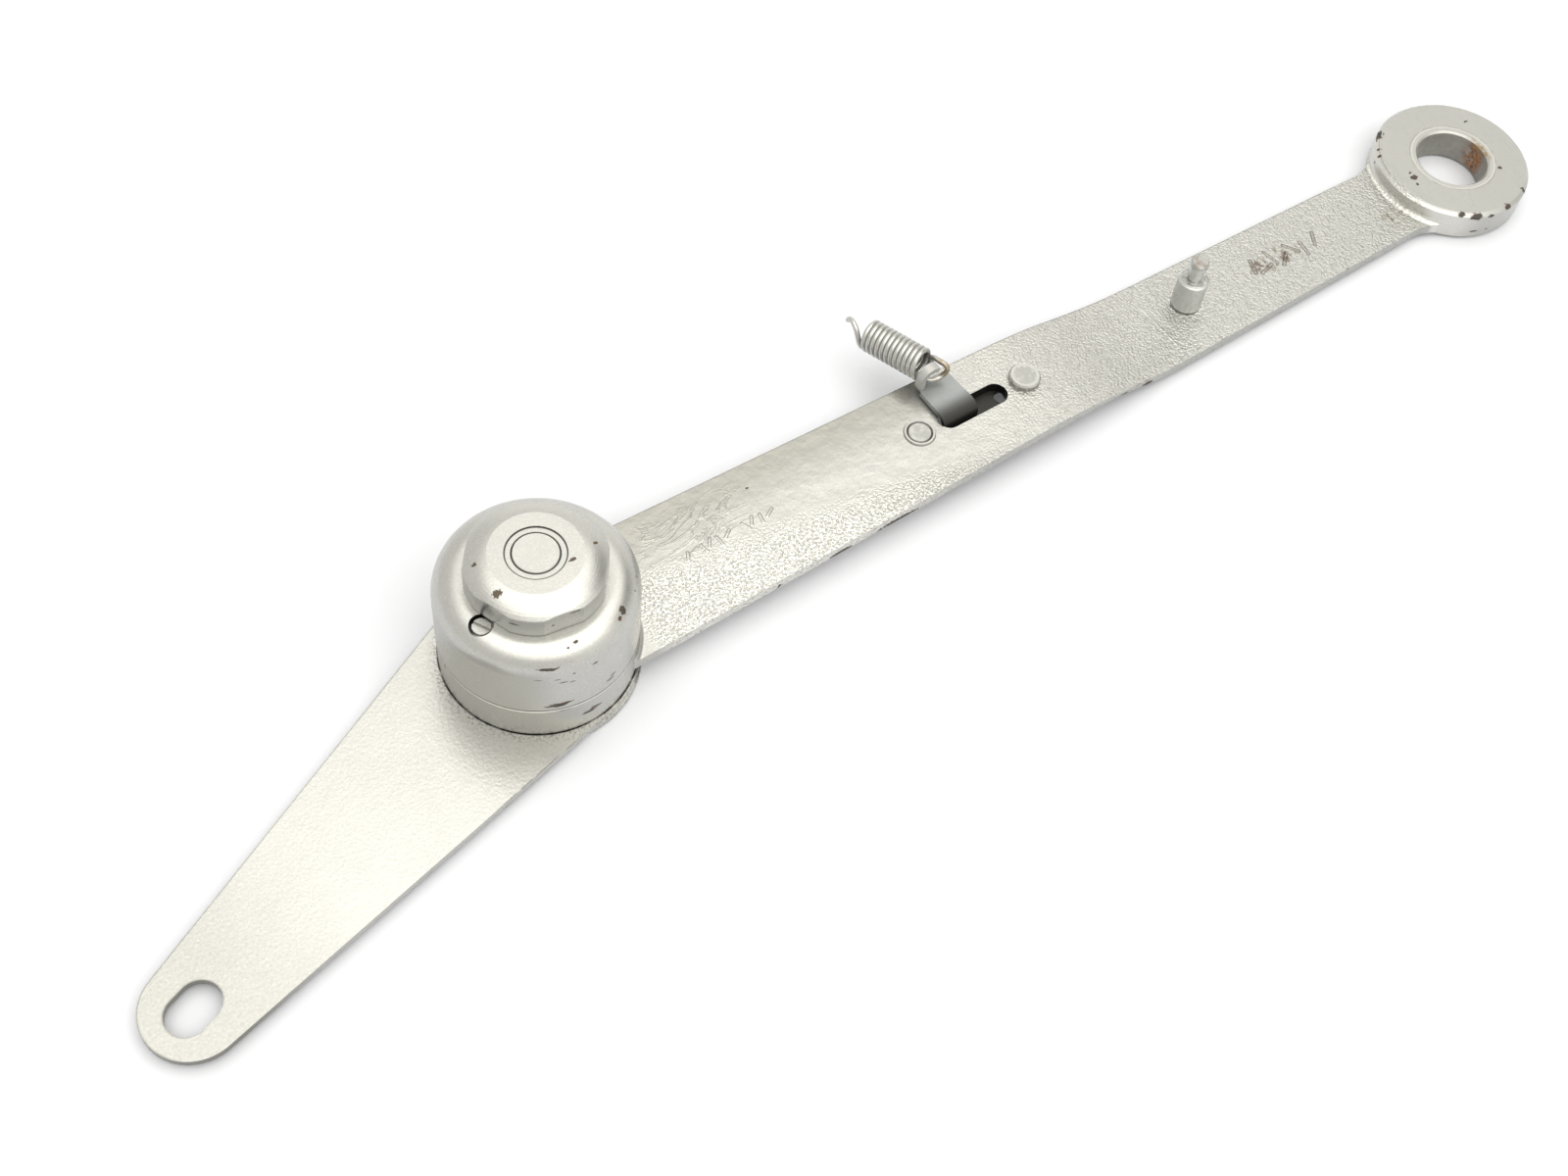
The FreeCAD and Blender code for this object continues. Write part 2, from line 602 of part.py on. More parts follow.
def slide_plate():
    wall = 2.4
    corner_r = 3.5
    left = SLIDE_X - GUIDE_HALF - SLIDE_TRAVEL - GUIDE_R - wall
    right = SLIDE_X + GUIDE_HALF + GUIDE_R + wall
    front = SLIDE_Y - SLIDE_HALF_WIDTH
    plate = box(left, right, front, front + 2 * SLIDE_HALF_WIDTH, SLIDE_TOP - SHEET, SLIDE_TOP)
    corners = [edge for edge in plate.Edges if abs(edge.tangentAt(0).z) > 0.9]
    plate = plate.makeFillet(corner_r, corners)
    for x in guide_places():
        middle = x - SLIDE_TRAVEL / 2
        plate = plate.cut(slot(GUIDE_R + 0.1, SLIDE_TRAVEL / 2 + 0.05, 0, 10, middle, SLIDE_Y))
    side_gap = 0.6
    window_depth = 7.2
    foot_y = SLIDE_Y - 0.7
    window = box(TAB_LEFT - side_gap, TAB_LEFT + TAB_WIDTH + side_gap, foot_y, foot_y + window_depth, 0, 10)
    return plate.cut(window).fuse(hook_tab()).removeSplitter()


def guide_rivet(head):
    """Shank through arm and slide with a formed tail; head is a (radius, height) outline above the arm."""
    tail_top = SLIDE_TOP - SHEET - FIT - GUIDE_WASHER[1]
    profile = [
        (0, tail_top - 0.8), (3.2, tail_top - 0.8), (3.6, tail_top - 0.4), (3.6, tail_top),
        (GUIDE_R, tail_top), (GUIDE_R, ARM_TOP),
    ]
    return revolve(profile + [(radius, ARM_TOP + height) for radius, height in head])


def guide_rivet_flush():
    """Rivet with a low ring around a sunk, flat middle."""
    rivet = guide_rivet([(3.75, 0), (3.5, 0.5), (3.1, 0.5), (2.8, 0.05), (2.55, 0.4), (0, 0.4)])
    rivet.translate(V(guide_places()[0], SLIDE_Y, 0))
    return rivet


def guide_rivet_raised():
    rivet = guide_rivet([(3.75, 0), (3.75, 0.9), (3.35, 1.45), (0, 1.45)])
    rivet.translate(V(guide_places()[1], SLIDE_Y, 0))
    return rivet


def slide_washers():
    radius, thickness = GUIDE_WASHER
    top = SLIDE_TOP - SHEET - FIT
    rings = [ring(radius, GUIDE_R, top - thickness, top, x, SLIDE_Y) for x in guide_places()]
    return Part.makeCompound(rings)


def near_hook():
    """Loop of the return spring from inside the ear, round its tip and back to the coil."""
    ear_x = TAB_LEFT
    ear_y = EAR_FRONT_Y
    ear_z = EAR_WALL_TOP
    return [
        V(ear_x + 2.6, ear_y + 2.4, ear_z - 1.2), V(ear_x + 2.9, ear_y + 1.3, ear_z - 1.6),
        V(ear_x + 4.1, ear_y + 0.5, ear_z - 1.6), V(ear_x + 5.7, ear_y + 0.2, ear_z - 1.3),
        V(ear_x + 6.7, ear_y, ear_z - 0.3), V(ear_x + 7.0, ear_y, ear_z + 1.1),
        V(ear_x + 6.8, ear_y + 0.6, ear_z + 1.8), V(ear_x + 6.4, ear_y + 1.8, ear_z + 1.9),
        V(ear_x + 6.1, ear_y + 3.0, ear_z + 1.8),
    ]


def far_hook(far_end):
    """Open hook at the free end: up past the last turn, then bent over away from the coil."""
    across = COIL_ALONG.cross(V(0, 0, 1))
    bends = [(1.1, -3.0, 1.5), (2.1, -2.6, 2.9), (3.5, -2.0, 3.6), (4.8, -1.4, 3.3), (5.5, -1.1, 2.3)]
    return [far_end + COIL_ALONG * along + across * side + V(0, 0, rise) for along, side, rise in bends]


def return_spring():
    """Close coil between two hooks."""
    across = COIL_ALONG.cross(V(0, 0, 1)).normalize()
    upright = across.cross(COIL_ALONG)
    pitch = 2 * COIL_WIRE + 0.03
    steps = 12  # points per turn
    coil = []
    for index in range(int(COIL_TURNS * steps) + 1):
        turns = index / steps
        angle = 2 * math.pi * turns
        radial = across * math.cos(angle) - upright * math.sin(angle)
        coil.append(COIL_START + COIL_ALONG * (pitch * turns) + radial * COIL_R)
    far_end = COIL_START + COIL_ALONG * (pitch * COIL_TURNS)
    path = Part.Wire([spline(near_hook() + coil + far_hook(far_end))])
    return sweep(path, COIL_WIRE)


# ---------------------------------------------------------------------- build

def pivot_bush():
    return ring(JOURNAL_R + BUSH_WALL, JOURNAL_R + FIT, LEVER_TOP + FLANGE_T + FIT, BOSS_TOP)


def thrust_washer():
    inner, outer, thickness = WASHER
    return ring(outer, inner, LEVER_TOP, LEVER_TOP + thickness)


def dust_seal():
    inner, outer, thickness = SEAL
    return ring(outer, inner, LEVER_TOP, LEVER_TOP + thickness)


def friction_disc():
    return ring(DRIVE_R - 0.2, JOURNAL_R + FIT + 0.1, BOSS_TOP, BOSS_TOP + FRICTION_T)


PIECES = [
    long_arm, eye_bush, stepped_stud, pivot_bush, cup_dowels, housing_cup, friction_disc,
    guide_rivet_flush, guide_rivet_raised, slide_washers,
    tapered_lever, base_disc, lever_rivets, spindle, thrust_washer, dust_seal,
    drive_plate, disc_springs, spindle_clip,
    adjuster_cap, cap_bush, anchor_plate, anchor_clip, torsion_spring, lock_screw,
    slide_plate, return_spring,
]

os.makedirs("parts", exist_ok=True)
for piece in PIECES:
    shape = piece()
    print(piece.__name__, shape.ShapeType, len(shape.Solids), round(shape.Volume, 1), shape.isValid())
    shape.exportStep("parts/" + piece.__name__ + ".step")
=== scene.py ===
import math

import bmesh
import bpy
from mathutils import Matrix, Vector

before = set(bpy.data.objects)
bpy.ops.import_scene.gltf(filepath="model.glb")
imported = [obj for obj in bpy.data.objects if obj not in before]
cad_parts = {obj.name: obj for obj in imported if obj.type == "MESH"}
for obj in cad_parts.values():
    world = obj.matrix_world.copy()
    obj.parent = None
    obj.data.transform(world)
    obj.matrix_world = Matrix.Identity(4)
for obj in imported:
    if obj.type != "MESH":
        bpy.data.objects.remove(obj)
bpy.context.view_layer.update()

MM = 0.001

# Sizes and places taken over from the CAD, in millimetres and degrees
LEVER_ANGLE = 199.5
LEVER_TOP = 3.6
BOSS_R = 21.0  # the cup on the boss is as wide
BOSS_TOP = 13.0
CUP_TOP = 31.6
CAP_FLATS = 14.0  # centre to flat
CAP_SHOULDER = 36.7  # height where the cap's bevel starts
CAP_TOP = 39.0
CAP_BUSH_R = 6.2
SPINDLE_END_R = 4.85
SCREW_ANGLE = math.radians(-163.2)
SCREW = (15.9 * math.cos(SCREW_ANGLE), 15.9 * math.sin(SCREW_ANGLE))
SCREW_SEAT_R = 2.6
SCREW_TOP = 31.0
ARM_TOP = 8.0
ARM_LOW_TOP = 4.0  # beyond the joggle
JOGGLE_END = 172.0
EYE = (271.5, 0.0, 8.6)  # middle of the eye's top face
EYE_R = 19.85
EYE_SEAT_R = 11.2  # joint between the eye and its bush
EYE_BORE_R = 9.1
STUD = (182.2, 1.1)
STUD_R = 3.7
STUD_BODY_TOP = 13.2
STUD_TOP = 19.0
SLOT = (115.6, 0.9, 6.75)  # middle and half length of the slot in the arm
SLOT_R = 2.9
RIVET_HALF = 15.2  # from the middle of the slot to each guide rivet
RIVET_HEAD_R = 3.75
TAB_Z = 9.2  # middle plane of the flat part of the tab
SPRING_START = (109.3, 12.6)

# Camera: where it looks, from how far, and how it is turned
LOOK_AT = Vector((52.2, -15.2, 4.0)) * MM
DISTANCE = 446.8 * MM
HEADING = 42.28  # degrees from +Y towards +X
DOWN = 56.56
ROLL = 8.86
LENS = 47.64

FLOOR_HALF = 12.0  # metres, as is the gap between the floor and the object
FLOOR_GAP = 0.0001

# Surroundings: even light, and panels as (azimuth, elevation, full within, gone beyond, gain), in degrees
AMBIENT = 0.90
LIGHT_TINT = (1.0, 0.985, 0.935, 1.0)
PANELS = [
    (-72.0, 80.0, 27.0, 53.0, 1.87),
    (-10.0, 36.0, 8.0, 28.0, -0.70),
    (50.0, 5.0, 12.0, 45.0, 0.45),
    (-65.0, 28.0, 8.0, 38.0, 0.40),
]


# ------------------------------------------------------------------ node kit

# A Mix node has sockets for numbers, vectors and colours side by side: (below, above, result) by index
MIX_NUMBERS = (2, 3, 0)
MIX_COLOURS = (6, 7, 2)


class Paint:
    """One procedural material, built up from small named steps. Lengths inside it are millimetres."""

    def __init__(self, name):
        self.material = bpy.data.materials.new(name)
        self.material.use_nodes = True
        self.nodes = self.material.node_tree.nodes
        self.links = self.material.node_tree.links
        self.shader = self.nodes["Principled BSDF"]
        place = self.nodes.new("ShaderNodeTexCoord").outputs["Object"]
        scale = self.nodes.new("ShaderNodeMapping")
        scale.inputs["Scale"].default_value = (1 / MM, 1 / MM, 1 / MM)
        self.links.new(place, scale.inputs["Vector"])
        self.place = scale.outputs[0]
        parts = self.nodes.new("ShaderNodeSeparateXYZ")
        self.links.new(self.place, parts.inputs[0])
        self.x, self.y, self.z = parts.outputs
        self.bump = None

    def feed(self, value, socket):
        """Set an input to a plain number or an opaque colour, or link it to another node's output."""
        if isinstance(value, (int, float)):
            socket.default_value = value
        elif isinstance(value, tuple):
            socket.default_value = (*value, 1.0)
        else:
            self.links.new(value, socket)

    def math(self, operation, first, second=0.0):
        node = self.nodes.new("ShaderNodeMath")
        node.operation = operation
        self.feed(first, node.inputs[0])
        self.feed(second, node.inputs[1])
        return node.outputs[0]

    def step(self, value, low, high):
        """0 below low, 1 above high, smooth between; works downwards when low is above high."""
        node = self.nodes.new("ShaderNodeMapRange")
        node.interpolation_type = "SMOOTHSTEP"
        self.feed(value, node.inputs["Value"])
        flip = low > high
        node.inputs["From Min"].default_value = high if flip else low
        node.inputs["From Max"].default_value = low if flip else high
        node.inputs["To Min"].default_value = 1.0 if flip else 0.0
        node.inputs["To Max"].default_value = 0.0 if flip else 1.0
        return node.outputs["Result"]

    def both(self, *masks):
        """Mask of what lies in all of the masks; a plain number weakens the result."""
        result = masks[0]
        for mask in masks[1:]:
            result = self.math("MULTIPLY", result, mask)
        return result

    def either(self, *masks):
        """Mask of what lies in any of the masks."""
        result = masks[0]
        for mask in masks[1:]:
            result = self.math("MAXIMUM", result, mask)
        return result

    def band(self, value, low, high, soft):
        """1 from low to high, 0 outside, with soft ends."""
        return self.both(self.step(value, low - soft, low + soft), self.step(value, high + soft, high - soft))

    def stretch(self, factors, turn=0.0):
        """The place, turned about Z and scaled, for grain that runs in one direction."""
        node = self.nodes.new("ShaderNodeMapping")
        node.vector_type = "TEXTURE"
        node.inputs["Rotation"].default_value = (0, 0, math.radians(turn))
        node.inputs["Scale"].default_value = factors
        self.links.new(self.place, node.inputs["Vector"])
        return node.outputs[0]

    def noise(self, size, detail=3.0, roughness=0.55, place=None, distortion=0.0):
        """Cloudy pattern around 0.5, its largest features about as wide as size."""
        node = self.nodes.new("ShaderNodeTexNoise")
        node.inputs["Scale"].default_value = 1.0 / size
        node.inputs["Detail"].default_value = detail
        node.inputs["Roughness"].default_value = roughness
        node.inputs["Distortion"].default_value = distortion
        self.links.new(place or self.place, node.inputs["Vector"])
        return node.outputs["Fac"]

    def mixed(self, data_type, sockets, mask, below, above):
        node = self.nodes.new("ShaderNodeMix")
        node.data_type = data_type
        low, high, result = sockets
        self.feed(mask, node.inputs[0])
        self.feed(below, node.inputs[low])
        self.feed(above, node.inputs[high])
        return node.outputs[result]

    def mix(self, mask, below, above):
        """Lay one colour over another where the mask is 1."""
        return self.mixed("RGBA", MIX_COLOURS, mask, below, above)

    def blend(self, mask, below, above):
        """The same for two numbers."""
        return self.mixed("FLOAT", MIX_NUMBERS, mask, below, above)

    def distance(self, centre, flatten, place=None):
        """Distance from a point, with each axis divided by its own factor."""
        shift = self.nodes.new("ShaderNodeVectorMath")
        shift.operation = "SUBTRACT"
        self.links.new(place or self.place, shift.inputs[0])
        shift.inputs[1].default_value = centre
        divide = self.nodes.new("ShaderNodeVectorMath")
        divide.operation = "DIVIDE"
        self.links.new(shift.outputs[0], divide.inputs[0])
        divide.inputs[1].default_value = flatten
        length = self.nodes.new("ShaderNodeVectorMath")
        length.operation = "LENGTH"
        self.links.new(divide.outputs[0], length.inputs[0])
        return length.outputs["Value"]

    def radius(self, x=0.0, y=0.0):
        """Distance from an upright axis."""
        across = self.math("SUBTRACT", self.x, x)
        along = self.math("SUBTRACT", self.y, y)
        return self.hypot(across, along)

    def hypot(self, first, second):
        """Length of the long side of a right-angled triangle."""
        squares = self.math("ADD", self.math("MULTIPLY", first, first), self.math("MULTIPLY", second, second))
        return self.math("SQRT", squares)

    def unrolled(self, radius, x=0.0):
        """A round wall laid flat: length around the wall, height, distance from the axis."""
        across = self.math("SUBTRACT", self.x, x)
        around = self.math("MULTIPLY", self.math("ARCTAN2", self.y, across), radius)
        flat = self.nodes.new("ShaderNodeCombineXYZ")
        for value, socket in zip((around, self.z, self.hypot(across, self.y)), flat.inputs):
            self.feed(value, socket)
        return flat.outputs[0]

    def near_slot(self, x, y, half):
        """Distance from a line of length 2 * half along X."""
        past_end = self.math("SUBTRACT", self.math("ABSOLUTE", self.math("SUBTRACT", self.x, x)), half)
        return self.hypot(self.math("MAXIMUM", past_end, 0.0), self.math("SUBTRACT", self.y, y))

    def strokes(self, places, half_length, half_width):
        """Mask of short straight strokes on a level face; each place is (x, y, degrees)."""
        mask = 0.0
        for x, y, degrees in places:
            turn = math.radians(degrees)
            from_x = self.math("SUBTRACT", self.x, x)
            from_y = self.math("SUBTRACT", self.y, y)
            along = self.turned(from_x, from_y, math.cos(turn), math.sin(turn))
            aside = self.turned(from_x, from_y, -math.sin(turn), math.cos(turn))
            ends = self.step(self.math("ABSOLUTE", along), half_length + 0.2, half_length - 0.2)
            sides = self.step(self.math("ABSOLUTE", aside), half_width + 0.2, half_width - 0.1)
            mask = self.either(mask, self.both(ends, sides))
        return mask

    def turned(self, first, second, cosine, sine):
        """One coordinate after a turn in the plane."""
        return self.math("ADD", self.math("MULTIPLY", first, cosine), self.math("MULTIPLY", second, sine))

    def raise_by(self, height, depth, distance):
        """Add one layer of bump; height is 0 to 1, depth its strength, distance in millimetres."""
        node = self.nodes.new("ShaderNodeBump")
        node.inputs["Strength"].default_value = depth
        node.inputs["Distance"].default_value = distance * MM
        self.feed(height, node.inputs["Height"])
        if self.bump is not None:
            self.links.new(self.bump, node.inputs["Normal"])
        self.bump = node.outputs["Normal"]

    def edges(self, size):
        """Mask of the sharp edges, found by comparing the normal with a rounded one."""
        rounded = self.nodes.new("ShaderNodeBevel")
        rounded.samples = 6
        rounded.inputs["Radius"].default_value = size * MM
        plain = self.nodes.new("ShaderNodeNewGeometry")
        product = self.nodes.new("ShaderNodeVectorMath")
        product.operation = "DOT_PRODUCT"
        self.links.new(rounded.outputs[0], product.inputs[0])
        self.links.new(plain.outputs["Normal"], product.inputs[1])
        return self.step(self.math("SUBTRACT", 1.0, product.outputs["Value"]), 0.02, 0.12)

    def finish(self, colour, metal, rough):
        """Connect the surface and hand over the material."""
        self.feed(colour, self.shader.inputs["Base Color"])
        self.feed(metal, self.shader.inputs["Metallic"])
        self.feed(rough, self.shader.inputs["Roughness"])
        if self.bump is not None:
            self.links.new(self.bump, self.shader.inputs["Normal"])
        return self.material


# ----------------------------------------------------------------- materials

SILVER = (0.470, 0.468, 0.450)
SILVER_DULL = (0.395, 0.394, 0.376)
SILVER_WARM = (0.550, 0.540, 0.490)
SILVER_HIGHLIGHT = (0.74, 0.73, 0.69)
SILVER_LOW_ARM = (0.435, 0.435, 0.415)
SILVER_FAR_SIDE_SHADE = (0.335, 0.330, 0.300)
SILVER_BOSS_SIDE_SHADE = (0.30, 0.297, 0.28)
SILVER_LEVER_TIP_SHADE = (0.30, 0.296, 0.272)
SILVER_CUP_SIDE_SHADE = (0.345, 0.343, 0.327)
SILVER_CAP_SIDES_SHADE = (0.36, 0.36, 0.345)
SILVER_RIVET = (0.33, 0.33, 0.31)
SILVER_STUD_TIP = (0.36, 0.355, 0.34)
BARE = (0.085, 0.078, 0.066)
BARE_CAP = (0.115, 0.098, 0.075)
BARE_TAB = (0.11, 0.105, 0.095)
BARE_PITS = (0.12, 0.10, 0.08)
BARE_SMALL = (0.20, 0.19, 0.17)
BARE_SPRING = (0.20, 0.19, 0.18)
RUST = (0.17, 0.078, 0.036)
RUST_LIGHT = (0.42, 0.21, 0.09)
RUST_GOLDEN = (0.33, 0.23, 0.11)
RUST_DULL = (0.30, 0.22, 0.11)
GRIME_AND_SHADE = (0.15, 0.145, 0.125)
GRIME_PITS = (0.22, 0.215, 0.19)
RIVET_GROOVE_SHADE = (0.12, 0.115, 0.10)
GRIME_JOINT = (0.20, 0.16, 0.11)
STAIN = (0.17, 0.13, 0.085)
STAIN_MARKS = (0.18, 0.14, 0.10)
STAIN_DEEP = (0.12, 0.075, 0.055)
STAIN_TIP = (0.24, 0.17, 0.12)
SMUDGE = (0.16, 0.16, 0.15)
SHADE = (0.022, 0.021, 0.019)
PAINT_METAL = 0.82
TAB_METAL = 0.6
BARE_METAL = 0.9
FAR_OFF = 1000.0  # more than any distance on the object, in millimetres


def silver_paint(name, peel_depth, peel_size):
    """Silver lacquer: faint clouds, metal flake and orange peel. Returns the open paint and its parts."""
    paint = Paint(name)
    cloud = paint.step(paint.noise(18.0, 3.0), 0.35, 0.65)
    colour = paint.mix(paint.math("MULTIPLY", cloud, 0.25), SILVER, SILVER_DULL)
    speckle = paint.step(paint.noise(0.45, 2.0), 0.44, 0.66)
    colour = paint.mix(paint.math("MULTIPLY", speckle, 0.55), colour, SILVER_WARM)
    rough = paint.blend(paint.noise(2.2, 4.0), 0.23, 0.35)
    paint.raise_by(paint.noise(peel_size, 2.0), peel_depth, 0.10)
    paint.raise_by(paint.noise(0.30, 1.0), 0.20, 0.03)
    return paint, colour, rough


def chipped(paint, colour, rough, mask, deep=BARE, brown=RUST):
    """Lay bare, dark steel into a coat of paint; the coat has a soft raised lip."""
    tint = paint.mix(paint.step(paint.noise(0.9, 3.0), 0.52, 0.70), deep, brown)
    colour = paint.mix(mask, colour, tint)
    rough = paint.blend(mask, rough, 0.62)
    paint.raise_by(paint.math("SUBTRACT", 1.0, mask), 0.5, 0.12)
    return colour, rough


def chip_spots(paint, spots, place=None, ragged=1.9, grain=(1.0, 1.0, 1.0)):
    """Mask of single chips. Each spot is (centre, half sizes); a fine noise makes the outlines ragged."""
    grained = paint.nodes.new("ShaderNodeVectorMath")
    grained.operation = "DIVIDE"
    paint.links.new(place or paint.place, grained.inputs[0])
    grained.inputs[1].default_value = grain
    noise = paint.math("SUBTRACT", paint.noise(0.55, 4.0, 0.65, grained.outputs[0]), 0.5)
    wobble = paint.math("MULTIPLY", noise, ragged)
    reach = FAR_OFF
    for centre, sizes in spots:
        reach = paint.math("MINIMUM", reach, paint.distance(centre, sizes, place))
    return paint.step(paint.math("ADD", reach, wobble), 1.02, 0.86)


def wall_chips(paint, radius, spots, x=0.0):
    """Chips on an upright round wall; each is (degrees, height, half width, half height)."""
    depth = 1.6
    lying = (3.2, 0.55, 1.0)  # the outlines' noise is drawn out around the wall
    placed = []
    for degrees, height, wide, tall in spots:
        placed.append(((math.radians(degrees) * radius, height, radius), (wide, tall, depth)))
    return chip_spots(paint, placed, paint.unrolled(radius, x), 2.2, lying)


def forged_skin(paint):
    """Relief of the forging: grain on the near half, fold lines beside the boss, raised marks.

    Returns the masks of the grain's pits and of the near half of the top face."""
    slant = paint.math("ADD", paint.y, paint.math("MULTIPLY", paint.x, 0.16))
    near_half = paint.either(paint.step(slant, 8.5, 2.0), paint.step(paint.x, 100.0, 150.0))
    on_plate = paint.both(paint.step(paint.x, 18.0, 24.0), paint.step(paint.x, 256.0, 250.0))
    strength = paint.blend(paint.step(paint.x, 80.0, 140.0), 1.0, 0.5)
    grain = paint.noise(0.62, 1.5, 0.6)
    paint.raise_by(paint.both(paint.step(grain, 0.32, 0.60), near_half, on_plate, strength), 1.0, 0.24)
    swell = paint.noise(4.0, 3.0, 0.5)
    paint.raise_by(paint.both(swell, on_plate), 0.5, 0.30)
    beside_boss = paint.both(paint.band(paint.x, 28.0, 54.0, 5.0), paint.band(paint.y, 1.0, 11.5, 2.5))
    flow = paint.noise(5.0, 4.0, 0.6, paint.stretch((2.6, 1.0, 1.0), 8.0), 1.0)
    fold = paint.step(paint.math("ABSOLUTE", paint.math("SUBTRACT", flow, 0.5)), 0.045, 0.004)
    paint.raise_by(paint.both(fold, beside_boss), 0.6, 0.15)
    raised = paint.strokes([
        (37.4, 0.2, 62.0), (39.4, 0.8, 20.0), (41.6, 0.3, 100.0), (43.4, 0.9, 55.0), (45.6, 0.2, 95.0),
        (48.0, 0.8, 35.0), (52.6, 0.4, 115.0), (54.4, 0.9, 60.0), (56.6, 0.4, 80.0), (59.0, 0.7, 30.0),
    ], 1.35, 0.26)
    paint.raise_by(raised, 0.8, 0.22)
    past_boss = paint.step(paint.radius(), BOSS_R + 0.2, BOSS_R + 1.2)
    top_face = paint.both(on_plate, past_boss, paint.step(paint.z, LEVER_TOP, LEVER_TOP + 0.3))
    pits = paint.both(paint.step(grain, 0.43, 0.33), near_half, on_plate, strength)
    return pits, paint.both(near_half, top_face)


def arm_marks(paint):
    """Short sunk strokes near the eye, worn past reading."""
    return paint.strokes([
        (204.6, 1.2, 70.0), (207.4, -1.0, 15.0), (210.6, 1.3, 100.0), (213.6, -0.9, 40.0),
        (217.2, 1.0, 125.0), (220.2, -0.6, 80.0), (224.4, 0.4, 60.0),
    ], 2.4, 0.34)


def arm_colours(paint, colour):
    """Tone of the arm: painted light on the near half, a painted highlight in the neck's fillet and on the
    eye's wall facing the arm, painted shade on the far side.
    """
    pits, near_half = forged_skin(paint)
    # Painted light: the near half of the top face, up to the slot, is painted brighter.
    before_slot = paint.step(paint.x, 118.0, 70.0)
    colour = paint.mix(paint.both(near_half, before_slot, 0.95), colour, SILVER_HIGHLIGHT)
    # Painted shade: the far side of the top face, before the slot, is painted darker.
    shaded_far_side = paint.both(paint.step(paint.y, -2.0, 12.0), paint.step(paint.x, 125.0, 95.0))
    colour = paint.mix(paint.both(shaded_far_side, 0.9), colour, SILVER_FAR_SIDE_SHADE)
    colour = paint.mix(paint.both(paint.step(paint.x, 150.0, 175.0), 0.6), colour, SILVER_LOW_ARM)
    colour = paint.mix(paint.both(pits, 0.6), colour, GRIME_PITS)
    # Painted highlight: the neck's fillet round the eye and the eye's wall facing the arm are painted bright,
    # broken up by noise.
    from_eye = paint.radius(EYE[0], EYE[1])
    worn = paint.step(paint.noise(2.0, 4.0, 0.6), 0.34, 0.56)
    fillet = paint.both(paint.band(from_eye, EYE_R + 0.35, EYE_R + 1.35, 0.4), worn, 0.75)
    below_top = paint.step(paint.z, EYE[2] - 0.05, EYE[2] - 0.25)
    eye_wall = paint.both(paint.band(from_eye, EYE_R - 0.65, EYE_R + 0.45, 0.1), below_top, 0.55)
    facing_arm = paint.step(paint.x, EYE[0] - 5.5, EYE[0] - 13.5)
    return paint.mix(paint.both(paint.either(fillet, eye_wall), facing_arm), colour, SILVER_HIGHLIGHT)


def arm_joints(paint, colour):
    """Lines where other pieces meet the arm, with painted light and shade: a painted highlight on the boss's
    lip under the cup, painted shade on the boss's left side and at the lever, dark lines along the rims, a
    bright ring round the stud, painted shade in the slot.
    """
    from_pivot = paint.radius()
    boss_wall = paint.band(from_pivot, BOSS_R - 0.7, BOSS_R + 0.3, 0.1)
    # Painted shade: the boss's wall is painted darker on its left side.
    shaded_side = paint.both(boss_wall, paint.step(paint.x, 4.0, -12.0), 0.8)
    colour = paint.mix(shaded_side, colour, SILVER_BOSS_SIDE_SHADE)
    # Painted highlight: a bright line along the top of the boss's wall, just under the cup.
    lip = paint.both(boss_wall, paint.step(paint.z, BOSS_TOP - 0.65, BOSS_TOP - 0.45))
    colour = paint.mix(paint.both(lip, 0.9), colour, SILVER_HIGHLIGHT)
    above_lever = paint.step(paint.z, LEVER_TOP + 0.4, LEVER_TOP + 0.2)
    foot = paint.both(boss_wall, above_lever, paint.step(paint.noise(2.5, 3.0), 0.25, 0.50))
    colour = paint.mix(foot, colour, SHADE)
    # A dark line is painted along the far rims of the arm.
    rim = paint.both(paint.edges(0.7), paint.step(paint.y, 2.0, 6.0), paint.step(paint.x, 245.0, 235.0))
    colour = paint.mix(paint.both(rim, 0.8), colour, GRIME_AND_SHADE)
    # Painted highlight: a ragged bright ring round the stud's foot.
    stud_foot = paint.band(paint.radius(*STUD), STUD_R - 0.1, STUD_R + 0.9, 0.15)
    ragged = paint.step(paint.noise(0.8, 3.0), 0.46, 0.56)
    colour = paint.mix(paint.both(stud_foot, ragged, 0.7), colour, SILVER_HIGHLIGHT)
    near_slot = paint.step(paint.near_slot(*SLOT), SLOT_R + 0.35, SLOT_R + 0.10)
    slot_wall = paint.both(near_slot, paint.step(paint.z, ARM_TOP - 0.05, ARM_TOP - 0.25))
    return paint.mix(slot_wall, colour, SHADE)


